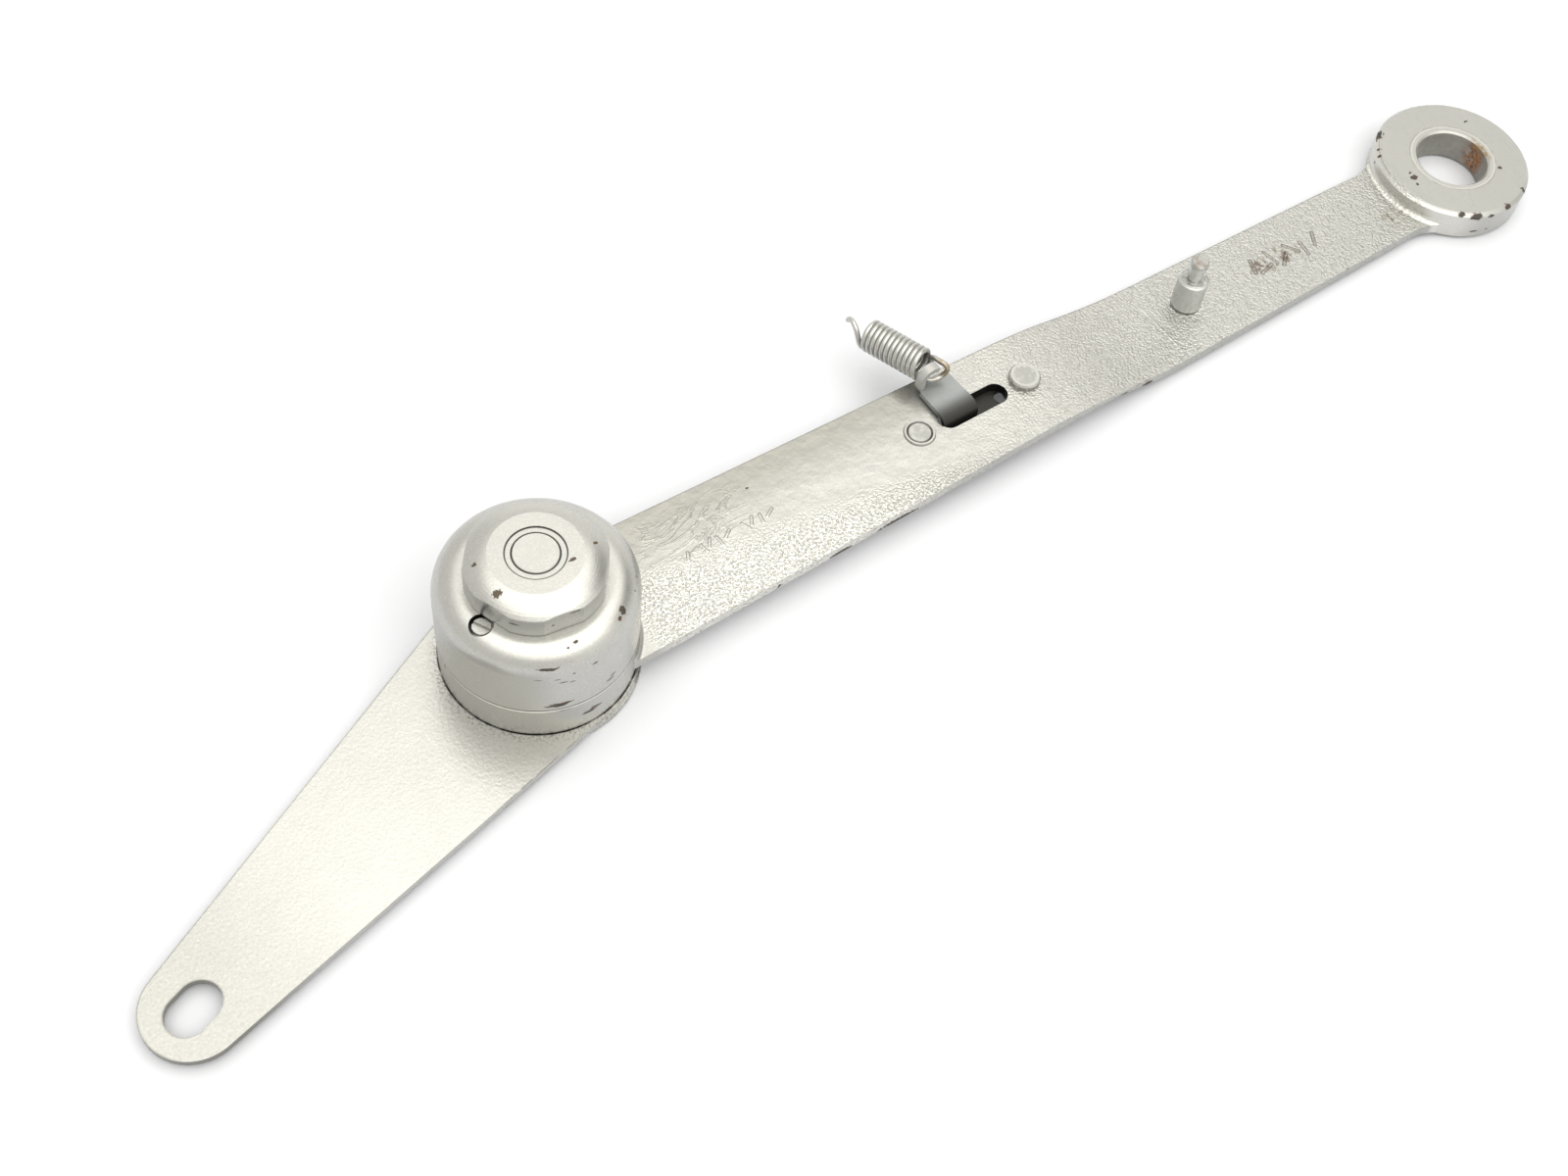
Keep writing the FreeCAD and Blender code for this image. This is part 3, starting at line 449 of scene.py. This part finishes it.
def arm_stains(paint, colour):
    """The sunk marks and the crease of the joggle, with brown dirt around the marks and at the neck."""
    marks = arm_marks(paint)
    paint.raise_by(paint.math("SUBTRACT", 1.0, marks), 1.0, 0.60)
    joggle_line = paint.band(paint.x, JOGGLE_END - 0.4, JOGGLE_END, 0.25)
    crease = paint.both(joggle_line, paint.band(paint.y, -11.0, 4.5, 1.5))
    paint.raise_by(crease, 0.6, 0.15)
    grime = paint.step(paint.noise(1.6, 5.0, 0.65), 0.50, 0.60)
    stain_places = paint.either(
        paint.step(paint.distance((211.0, 0.4, 4.0), (10.0, 3.6, 2.0)), 1.1, 0.5),
        paint.step(paint.distance((248.5, -4.6, 4.0), (5.2, 3.4, 3.0)), 1.1, 0.4),
        paint.step(paint.distance((255.6, -5.2, 5.2), (3.0, 4.2, 2.4)), 1.1, 0.5),
    )
    stain = paint.both(stain_places, grime, 0.75)
    colour = paint.mix(stain, colour, STAIN)
    colour = paint.mix(paint.both(marks, 0.3), colour, STAIN_MARKS)
    brown_places = paint.either(
        paint.step(paint.distance((206.3, 0.6, 4.0), (2.6, 2.2, 1.0)), 1.2, 0.4),
        paint.step(paint.distance((214.2, -0.4, 4.0), (2.0, 2.4, 1.0)), 1.2, 0.4),
    )
    brown = paint.both(brown_places, paint.step(paint.noise(1.1, 4.0), 0.44, 0.56), 0.8)
    return paint.mix(brown, colour, STAIN_DEEP)


def arm_chips(paint):
    """Mask of the chips on the eye's wall, the boss's wall, the top faces and the lower near edge."""
    eye_wall = wall_chips(paint, EYE_R, [
        (124.6, 8.1, 2.2, 0.8), (140.6, 8.3, 0.5, 0.5), (147.5, 8.3, 0.5, 0.5), (147.7, 6.2, 0.4, 0.4),
        (-128.2, 8.2, 1.0, 0.6), (-116.1, 7.7, 1.7, 0.95), (-104.4, 7.4, 0.9, 0.5),
        (-88.2, 8.1, 1.1, 0.8), (-64.7, 8.2, 0.6, 0.6), (-113.6, 2.6, 1.2, 0.25), (-102.9, 2.6, 0.5, 0.2),
    ], EYE[0])
    boss_wall = wall_chips(paint, BOSS_R, [
        (-91.5, 8.1, 1.6, 0.55), (-87.5, 8.7, 1.6, 0.45),
        (-106.8, 12.5, 1.9, 0.30), (174.7, 11.6, 0.35, 0.45),
    ])
    level = chip_spots(paint, [
        ((257.5, 0.2, 8.6), (1.2, 0.8, 1.0)), ((257.8, 1.8, 8.6), (0.5, 0.3, 1.0)),
        ((256.7, -2.0, 8.6), (0.4, 0.4, 1.0)), ((283.9, 7.7, 8.6), (0.7, 0.3, 1.0)),
        ((279.8, -8.9, 8.6), (0.6, 0.5, 1.0)), ((67.6, -14.9, 5.7), (3.2, 1.0, 0.6)),
        ((83.3, -14.5, 5.8), (5.4, 1.0, 0.6)), ((50.8, -15.2, 6.0), (0.6, 0.6, 0.5)),
        ((150.6, -13.0, 4.2), (1.4, 0.8, 0.9)), ((158.0, -12.9, 3.4), (2.0, 0.8, 0.8)),
        ((58.4, 8.6, 8.0), (0.35, 0.25, 0.5)),
    ])
    low_edge = paint.both(paint.edges(0.4), paint.step(paint.z, 6.2, 5.6), paint.step(paint.y, -4.0, -9.0))
    low_edge = paint.both(low_edge, paint.step(paint.noise(3.0, 4.0, 0.6), 0.60, 0.66))
    return paint.either(eye_wall, boss_wall, level, low_edge)


def arm_paint():
    """Silver paint over the forging: chipped rims, a stained neck and a shaded slot."""
    paint, colour, rough = silver_paint("arm_paint", 0.22, 0.9)
    colour = arm_colours(paint, colour)
    colour = arm_stains(paint, colour)
    colour, rough = chipped(paint, colour, rough, arm_chips(paint))
    colour = arm_joints(paint, colour)
    return paint.finish(colour, PAINT_METAL, rough)


def lever_paint():
    """Flat sheet with a fine, even peel; grimy around the boss, its near edge worn to rust beside it; painted
    shade at the boss's foot, towards the tip and on the tip's side walls, and a dark line along its far top
    edge.
    """
    paint, colour, rough = silver_paint("lever_paint", 0.42, 0.75)
    turn = math.radians(LEVER_ANGLE)
    along = paint.turned(paint.x, paint.y, math.cos(turn), math.sin(turn))
    aside = paint.turned(paint.x, paint.y, -math.sin(turn), math.cos(turn))
    near_side = paint.step(aside, 8.0, 11.0)
    beside_boss = paint.band(along, 12.0, 33.0, 3.0)
    patchy = paint.step(paint.noise(2.6, 4.0), 0.40, 0.50)
    worn = paint.both(paint.edges(0.35), beside_boss, near_side, patchy)
    specks = paint.both(paint.step(paint.noise(0.9, 2.0, 0.5), 0.78, 0.80), paint.step(along, 40.0, 22.0))
    rim = paint.both(paint.edges(0.3), paint.step(paint.noise(3.4, 4.0), 0.64, 0.70))
    specked = paint.step(paint.noise(0.6, 3.0), 0.50, 0.64)
    foot = paint.both(paint.step(paint.radius(), BOSS_R + 3.5, BOSS_R - 0.2), specked)
    colour = paint.mix(paint.both(foot, 0.75), colour, GRIME_AND_SHADE)
    ragged = paint.step(paint.noise(2.0, 3.0), 0.20, 0.55)
    under_boss = paint.step(paint.radius(), BOSS_R + 0.25, BOSS_R - 0.05)
    contact = paint.both(under_boss, paint.step(paint.z, LEVER_TOP - 0.3, LEVER_TOP - 0.1), ragged)
    colour = paint.mix(contact, colour, SHADE)
    # Painted shade: the lever is painted darker towards its tip.
    tip = paint.step(along, 62.0, 98.0)
    colour = paint.mix(paint.both(tip, paint.noise(0.6, 2.0), 0.9), colour, SILVER_LEVER_TIP_SHADE)
    # Painted shade on the side walls near the tip, and a dark line along the far top edge.
    near_top = paint.step(paint.z, LEVER_TOP - 1.0, LEVER_TOP - 0.4)
    outline = paint.both(paint.edges(0.8), near_top, paint.step(aside, 6.0, 2.0))
    below_top = paint.step(paint.z, LEVER_TOP - 0.08, LEVER_TOP - 0.18)
    side_wall = paint.both(below_top, paint.step(along, 78.0, 100.0))
    colour = paint.mix(paint.both(paint.either(outline, side_wall), 0.8), colour, GRIME_AND_SHADE)
    colour, rough = chipped(paint, colour, rough, paint.either(worn, rim, specks), BARE, RUST_LIGHT)
    return paint.finish(colour, PAINT_METAL, rough)


def cup_paint():
    """Deep-drawn cup: smooth coat, soft upright draw marks, knocks and scratches on the near side; painted
    shade on its left side, along the seam with the boss and on the left of the screw's seat.
    """
    paint, colour, rough = silver_paint("cup_paint", 0.08, 1.4)
    draw = paint.noise(1.1, 3.0, 0.5, paint.stretch((1.0, 1.0, 14.0)))
    paint.raise_by(draw, 0.12, 0.03)
    wall = wall_chips(paint, BOSS_R, [
        (-109.8, 15.1, 2.2, 0.75), (-106.0, 15.4, 1.6, 0.45), (-114.0, 14.9, 1.3, 0.35),
        (-114.5, 28.5, 2.6, 0.36), (-88.3, 26.3, 0.8, 0.30), (-120.8, 25.5, 0.9, 0.15),
        (-110.0, 25.0, 0.8, 0.15), (-106.6, 23.6, 1.0, 0.16), (-101.6, 23.0, 0.7, 0.14),
        (-77.6, 16.0, 1.0, 0.25), (-75.4, 17.0, 0.9, 0.22), (-100.9, 25.9, 0.3, 0.25),
        (-29.8, 29.6, 0.25, 0.4), (-40.0, 29.7, 0.3, 0.35),
    ])
    shoulder = chip_spots(paint, [
        ((10.2, -15.7, 30.7), (0.8, 1.0, 1.2)), ((8.8, -16.9, 30.4), (0.5, 0.4, 0.8)),
        ((-1.6, -17.4, 31.2), (0.6, 0.3, 0.6)), ((-3.5, -17.7, 31.0), (0.3, 0.2, 0.5)),
    ])
    near_boss = paint.step(paint.z, BOSS_TOP + 0.55, BOSS_TOP + 0.25)
    foot = paint.both(near_boss, paint.step(paint.noise(4.5, 4.0), 0.56, 0.62))
    colour, rough = chipped(paint, colour, rough, paint.either(wall, shoulder, foot))
    # Painted shade: the cup's upright wall is painted darker on its left side.
    upright = paint.step(paint.z, CUP_TOP - 3.1, CUP_TOP - 5.6)
    shaded_side = paint.both(paint.step(paint.x, -6.0, -14.0), upright, 0.8)
    colour = paint.mix(shaded_side, colour, SILVER_CUP_SIDE_SHADE)
    seam = paint.both(paint.step(paint.z, BOSS_TOP + 0.75, BOSS_TOP + 0.45), 0.85)
    from_x = paint.math("SUBTRACT", paint.x, SCREW[0])
    from_y = paint.math("SUBTRACT", paint.y, SCREW[1])
    left_side = paint.step(paint.turned(from_x, from_y, -0.40, 0.92), -1.3, 1.1)
    around_screw = paint.step(paint.radius(*SCREW), SCREW_SEAT_R, SCREW_SEAT_R - 0.12)
    sunk = paint.step(paint.z, CUP_TOP + 0.02, CUP_TOP - 0.10)
    seat = paint.both(around_screw, sunk, left_side)
    colour = paint.mix(paint.either(seam, seat), colour, SHADE)
    return paint.finish(colour, PAINT_METAL, rough)


def cap_paint():
    """Turned cap: fine rings show through the paint on its bevel; painted shade lies in the joints around the
    bush, under the cap and on its flats.
    """
    paint, colour, rough = silver_paint("cap_paint", 0.07, 1.2)
    radius = paint.radius()
    ring = paint.math("SINE", paint.math("MULTIPLY", radius, 11.0))
    bevel = paint.both(paint.step(radius, 10.5, 12.5), paint.step(paint.z, CAP_TOP - 5.0, CAP_TOP - 3.0))
    paint.raise_by(paint.both(paint.math("ADD", ring, 1.0), bevel), 0.10, 0.04)
    top = paint.step(paint.z, CAP_TOP - 2.0, CAP_TOP - 0.5)
    joints = paint.either(
        paint.band(radius, SPINDLE_END_R - 0.15, SPINDLE_END_R + 0.19, 0.10),
        paint.band(radius, CAP_BUSH_R - 0.18, CAP_BUSH_R + 0.14, 0.10),
    )
    colour = paint.mix(paint.both(joints, top, 0.92), colour, SHADE)
    under = paint.step(paint.z, CUP_TOP + 0.6, CUP_TOP + 0.2)
    colour = paint.mix(paint.both(under, 0.9), colour, SHADE)
    # Painted shade: the cap's upright flats below the bevel are painted darker.
    below_bevel = paint.step(paint.z, CAP_SHOULDER + 0.2, CAP_SHOULDER - 0.2)
    sides = paint.both(below_bevel, paint.step(radius, CAP_FLATS - 0.8, CAP_FLATS - 0.4))
    colour = paint.mix(paint.both(sides, 0.7), colour, SILVER_CAP_SIDES_SHADE)
    smudge = paint.step(paint.distance((-13.6, -4.3, 34.6), (1.6, 1.6, 2.2)), 1.3, 0.2)
    colour = paint.mix(paint.both(smudge, 0.6), colour, SMUDGE)
    level = chip_spots(paint, [
        ((-11.0, -3.9, 38.2), (1.1, 0.9, 1.2)), ((-11.4, 4.2, 38.2), (0.6, 0.45, 1.2)),
        ((11.3, -3.8, 38.2), (0.5, 0.35, 1.2)), ((5.2, -5.1, 39.0), (0.8, 0.4, 1.0)),
    ])
    faces = wall_chips(paint, CAP_FLATS + 0.2, [
        (-138.6, 35.1, 1.0, 0.28), (-108.1, 34.2, 0.3, 0.25), (-88.4, 36.3, 1.2, 0.20),
    ])
    colour, rough = chipped(paint, colour, rough, paint.either(level, faces), BARE_CAP)
    return paint.finish(colour, PAINT_METAL, rough)


def hardware_paint(name):
    """Silver paint on screws and small parts, thin on the edges."""
    paint, colour, rough = silver_paint(name, 0.2, 0.6)
    worn = paint.both(paint.edges(0.2), paint.step(paint.noise(1.3, 3.0), 0.5, 0.6), 0.6)
    colour, rough = chipped(paint, colour, rough, worn, BARE_SMALL)
    return paint, colour, rough


def small_parts_paint():
    """Rivets of the lever."""
    paint, colour, rough = hardware_paint("small_parts_paint")
    return paint.finish(colour, PAINT_METAL, rough)


def screw_paint():
    """Lock screw: silver head, darker in its slot."""
    paint, colour, rough = hardware_paint("screw_paint")
    # Darker in the screw's slot.
    notch = paint.step(paint.z, SCREW_TOP - 0.05, SCREW_TOP - 0.15)
    colour = paint.mix(paint.both(notch, 0.6), colour, GRIME_AND_SHADE)
    return paint.finish(colour, PAINT_METAL, rough)


def rivet_paint():
    """Guide rivets: dull middle, painted shade in the groove and round the foot."""
    paint, colour, rough = hardware_paint("rivet_paint")
    from_middle = paint.math("ABSOLUTE", paint.math("SUBTRACT", paint.x, SLOT[0]))
    across = paint.math("SUBTRACT", from_middle, RIVET_HALF)
    radius = paint.hypot(across, paint.math("SUBTRACT", paint.y, SLOT[1]))
    middle = paint.both(paint.step(radius, 2.9, 2.5), paint.step(paint.noise(1.6, 4.0), 0.30, 0.55))
    colour = paint.mix(paint.both(middle, 0.8), colour, SILVER_RIVET)
    # Painted shade in the flush rivet's groove and round the edge of each head.
    flush = paint.step(paint.z, ARM_TOP + 1.2, ARM_TOP + 0.8)
    groove = paint.both(paint.band(radius, 2.62, 2.98, 0.10), flush)
    rim = paint.step(radius, RIVET_HEAD_R - 0.17, RIVET_HEAD_R - 0.03)
    foot = paint.both(rim, paint.step(paint.noise(1.2, 3.0), 0.30, 0.45))
    colour = paint.mix(paint.both(paint.either(groove, foot), 0.65), colour, RIVET_GROOVE_SHADE)
    return paint.finish(colour, PAINT_METAL, rough)


def bush_steel():
    """Ring in the eye: painted on its top face, bare and rusting in the bore."""
    paint, colour, rough = silver_paint("bush_steel", 0.10, 0.7)
    wall = paint.radius(EYE[0], EYE[1])
    flat = paint.unrolled(EYE_BORE_R, EYE[0])
    bore = paint.step(wall, EYE_BORE_R + 0.25, EYE_BORE_R + 0.05)
    steel = paint.mix(paint.noise(1.4, 5.0), (0.28, 0.27, 0.25), (0.44, 0.43, 0.40))
    pits = paint.step(paint.noise(0.8, 4.0, 0.6), 0.64, 0.72)
    steel = paint.mix(paint.both(pits, 0.7), steel, BARE_PITS)
    rusty = paint.both(
        paint.step(paint.distance((-0.6, 4.4, EYE_BORE_R), (3.8, 5.4, 3.0), flat), 1.30, 0.35),
        paint.step(paint.noise(2.6, 5.0, 0.65), 0.30, 0.60),
    )
    rust = paint.mix(paint.step(paint.noise(0.9, 4.0), 0.35, 0.65), RUST, RUST_LIGHT)
    colour = paint.mix(bore, colour, paint.mix(rusty, steel, rust))
    rough = paint.blend(bore, rough, 0.55)
    rim = paint.step(wall, EYE_SEAT_R - 0.3, EYE_BORE_R + 0.5)
    right_side = paint.step(paint.distance((280.9, -2.2, 8.6), (1.8, 5.4, 2.0)), 1.2, 0.5)
    golden = paint.both(rim, right_side, paint.step(paint.noise(1.6, 4.0), 0.40, 0.58))
    colour = paint.mix(paint.both(golden, 0.8), colour, RUST_GOLDEN)
    # Painted highlight: a thin bright ring just inside the seat.
    ring = paint.both(paint.band(wall, EYE_SEAT_R - 0.7, EYE_SEAT_R - 0.25, 0.15), 0.4)
    colour = paint.mix(ring, colour, SILVER_HIGHLIGHT)
    at_seat = paint.step(wall, EYE_SEAT_R - 0.2, EYE_SEAT_R - 0.08)
    joint = paint.both(at_seat, paint.step(paint.noise(3.0, 3.0), 0.38, 0.56), 0.7)
    colour = paint.mix(joint, colour, GRIME_JOINT)
    paint.raise_by(paint.both(paint.noise(0.7, 4.0), bore), 0.6, 0.12)
    return paint.finish(colour, PAINT_METAL, rough)


def plain_surface(name, dark, light, rough_low, rough_high, grain=0.6):
    """Surface without a coat that varies between two colours. Returns the open paint and its parts."""
    paint = Paint(name)
    colour = paint.mix(paint.noise(2.4, 5.0), dark, light)
    rough = paint.blend(paint.noise(0.9, 4.0), rough_low, rough_high)
    paint.raise_by(paint.noise(grain, 4.0), 0.25, 0.05)
    return paint, colour, rough


def stud_steel():
    """Turned stud, bright plated, with dirt in its groove, darker around its foot, painted highlights on its
    sharp edges and a browned tip.
    """
    paint, colour, rough = plain_surface("stud_steel", (0.47, 0.48, 0.47), (0.60, 0.61, 0.59), 0.24, 0.34)
    turned = paint.math("SINE", paint.math("MULTIPLY", paint.z, 14.0))
    paint.raise_by(turned, 0.15, 0.05)
    # Painted highlight: bright glints along the stud's sharp edges.
    bright = paint.both(paint.edges(0.35), paint.step(paint.noise(0.9, 3.0), 0.35, 0.5))
    colour = paint.mix(bright, colour, SILVER_HIGHLIGHT)
    dirt = paint.step(paint.noise(0.9, 3.0), 0.3, 0.6)
    neck = paint.band(paint.z, STUD_BODY_TOP - 0.05, STUD_BODY_TOP + 0.25, 0.1)
    groove = paint.both(neck, dirt, 0.6)
    # Darker round the stud's foot, where it stands on the arm.
    foot = paint.step(paint.z, ARM_LOW_TOP + 0.6, ARM_LOW_TOP + 0.2)
    scuffs = chip_spots(paint, [
        ((185.6, -0.4, 10.6), (0.8, 0.9, 0.7)), ((185.4, -0.8, 9.0), (0.7, 0.7, 0.6)),
    ])
    colour = paint.mix(paint.either(groove, foot, scuffs), colour, BARE)
    near_tip = paint.step(paint.z, STUD_TOP - 2.0, STUD_TOP - 0.6)
    colour = paint.mix(paint.both(near_tip, 0.7), colour, SILVER_STUD_TIP)
    tip = paint.step(paint.z, STUD_TOP - 1.0, STUD_TOP - 0.1)
    browned = paint.both(tip, paint.step(paint.noise(1.6, 2.0), 0.40, 0.66), 0.6)
    colour = paint.mix(browned, colour, STAIN_TIP)
    return paint.finish(colour, PAINT_METAL, rough)


def tab_steel():
    """Blue-grey slide with a smooth skin, silver on the ear, dark where it dips into the slot."""
    dark = (0.255, 0.270, 0.272)
    light = (0.31, 0.325, 0.325)
    paint, colour, rough = plain_surface("tab_steel", dark, light, 0.36, 0.5, 1.2)
    ear = paint.step(paint.z, TAB_Z + 0.8, TAB_Z + 1.6)
    silver = paint.mix(paint.noise(1.0, 4.0), SILVER_DULL, SILVER)
    colour = paint.mix(ear, colour, silver)
    worn = paint.both(paint.edges(0.25), paint.step(paint.noise(1.0, 3.0), 0.45, 0.6))
    colour = paint.mix(worn, colour, BARE_TAB)
    dipped = paint.either(paint.step(paint.y, 5.4, 0.6), paint.step(paint.z, TAB_Z - 0.6, TAB_Z - 1.8))
    colour = paint.mix(paint.both(dipped, 0.97), colour, SHADE)
    return paint.finish(colour, TAB_METAL, rough)


def spring_paint():
    """Return spring: silver paint, rubbed here and there, with a browned near hook."""
    paint, colour, rough = silver_paint("spring_paint", 0.2, 0.5)
    start_x, start_y = SPRING_START
    before_coil = paint.step(paint.y, start_y - 0.2, start_y - 1.2)
    hook = paint.both(before_coil, paint.step(paint.x, start_x + 0.2, start_x + 2.2))
    brown = paint.both(hook, paint.step(paint.noise(1.4, 4.0), 0.36, 0.55), 0.7)
    colour = paint.mix(brown, colour, RUST_DULL)
    rub = paint.both(paint.step(paint.noise(1.0, 4.0), 0.66, 0.72), 0.5)
    colour, rough = chipped(paint, colour, rough, rub, BARE_SPRING)
    return paint.finish(colour, PAINT_METAL, rough)


def inner_steel():
    """Dark steel of the pieces inside the cup."""
    paint, colour, rough = plain_surface("inner_steel", (0.10, 0.10, 0.11), (0.20, 0.20, 0.21), 0.28, 0.5)
    return paint.finish(colour, BARE_METAL, rough)


def bronze():
    """Bearing bronze of the bush, the friction disc and the thrust washer."""
    paint, colour, rough = plain_surface("bearing_bronze", (0.30, 0.17, 0.06), (0.48, 0.30, 0.12), 0.35, 0.55)
    return paint.finish(colour, BARE_METAL, rough)


def seal_rubber():
    """Black rubber of the dust seal."""
    paint, colour, rough = plain_surface("seal_rubber", (0.012, 0.012, 0.012), (0.03, 0.03, 0.03), 0.55, 0.8)
    return paint.finish(colour, 0.0, rough)


def dress(material, *nodes):
    """Put one material on every slot of some CAD nodes."""
    for node in nodes:
        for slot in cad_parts[node].material_slots:
            slot.material = material


def dress_all():
    """Every CAD node gets its material."""
    dress(arm_paint(), "long_arm")
    dress(lever_paint(), "tapered_lever", "base_disc")
    dress(cup_paint(), "housing_cup")
    dress(cap_paint(), "adjuster_cap", "cap_bush", "spindle")
    dress(rivet_paint(), "guide_rivet_flush", "guide_rivet_raised")
    dress(screw_paint(), "lock_screw")
    dress(small_parts_paint(), "lever_rivets")
    dress(bush_steel(), "eye_bush")
    dress(stud_steel(), "stepped_stud")
    dress(tab_steel(), "slide_plate", "slide_washers")
    dress(spring_paint(), "return_spring")
    dress(inner_steel(), "torsion_spring", "anchor_plate", "anchor_clip", "drive_plate", "disc_springs",
          "spindle_clip", "cup_dowels")
    dress(bronze(), "pivot_bush", "friction_disc", "thrust_washer")
    dress(seal_rubber(), "dust_seal")


# --------------------------------------------------------- floor, light, view

def floor_material():
    """Matt white with a trace of cloud."""
    paint = Paint("floor_white")
    colour = paint.mix(paint.noise(60.0, 2.0), (0.640, 0.650, 0.685), (0.655, 0.665, 0.700))
    return paint.finish(colour, 0.0, 0.9)


def floor():
    """One large level sheet just under the object."""
    mesh = bpy.data.meshes.new("floor")
    grid = bmesh.new()
    bmesh.ops.create_grid(grid, x_segments=1, y_segments=1, size=FLOOR_HALF)
    bmesh.ops.translate(grid, verts=grid.verts, vec=(0.0, 0.0, -FLOOR_GAP))
    grid.to_mesh(mesh)
    grid.free()
    mesh.materials.append(floor_material())
    sheet = bpy.data.objects.new("floor", mesh)
    bpy.context.collection.objects.link(sheet)


def direction(azimuth, elevation):
    """Unit vector towards a point of the surroundings, from degrees."""
    turn = math.radians(azimuth)
    rise = math.radians(elevation)
    return (math.cos(rise) * math.cos(turn), math.cos(rise) * math.sin(turn), math.sin(rise))


def add_panel(tree, towards, level, azimuth, elevation, near, far, gain):
    """Add one soft round panel to the brightness of the surroundings; a gain below 0 darkens."""
    cosine = tree.nodes.new("ShaderNodeVectorMath")
    cosine.operation = "DOT_PRODUCT"
    cosine.inputs[1].default_value = direction(azimuth, elevation)
    tree.links.new(towards, cosine.inputs[0])
    lobe = tree.nodes.new("ShaderNodeMapRange")
    lobe.interpolation_type = "SMOOTHSTEP"
    lobe.inputs["From Min"].default_value = math.cos(math.radians(far))
    lobe.inputs["From Max"].default_value = math.cos(math.radians(near))
    lobe.inputs["To Max"].default_value = gain
    tree.links.new(cosine.outputs["Value"], lobe.inputs["Value"])
    total = tree.nodes.new("ShaderNodeMath")
    tree.links.new(lobe.outputs["Result"], total.inputs[0])
    tree.links.new(level, total.inputs[1])
    return total.outputs[0]


def studio():
    """White surroundings: even light, a large bright panel overhead and smaller ones low down."""
    world = bpy.data.worlds.new("studio")
    bpy.context.scene.world = world
    world.use_nodes = True
    tree = world.node_tree
    towards = tree.nodes.new("ShaderNodeTexCoord").outputs["Generated"]
    level = tree.nodes.new("ShaderNodeValue").outputs[0]
    level.default_value = AMBIENT
    for panel in PANELS:
        level = add_panel(tree, towards, level, *panel)
    background = tree.nodes["Background"]
    tree.links.new(level, background.inputs["Strength"])
    background.inputs["Color"].default_value = LIGHT_TINT


def camera():
    """Camera above the near side, rolled a little about its own line of sight."""
    heading = math.radians(HEADING)
    down = math.radians(DOWN)
    level_forward = Vector((math.sin(heading), math.cos(heading), 0.0))
    forward = level_forward * math.cos(down) - Vector((0.0, 0.0, math.sin(down)))
    level_right = Vector((math.cos(heading), -math.sin(heading), 0.0))
    level_up = level_right.cross(forward)
    roll = math.radians(ROLL)
    right = level_right * math.cos(roll) + level_up * math.sin(roll)
    up = right.cross(forward)
    lens = bpy.data.cameras.new("camera")
    lens.lens = LENS
    lens.sensor_width = 36.0
    lens.clip_start = 0.01
    holder = bpy.data.objects.new("camera", lens)
    turn = Matrix((right, up, -forward)).transposed().to_4x4()
    holder.matrix_world = Matrix.Translation(LOOK_AT - forward * DISTANCE) @ turn
    bpy.context.collection.objects.link(holder)
    bpy.context.scene.camera = holder


dress_all()
floor()
studio()
camera()
bpy.context.scene.view_settings.view_transform = "Standard"
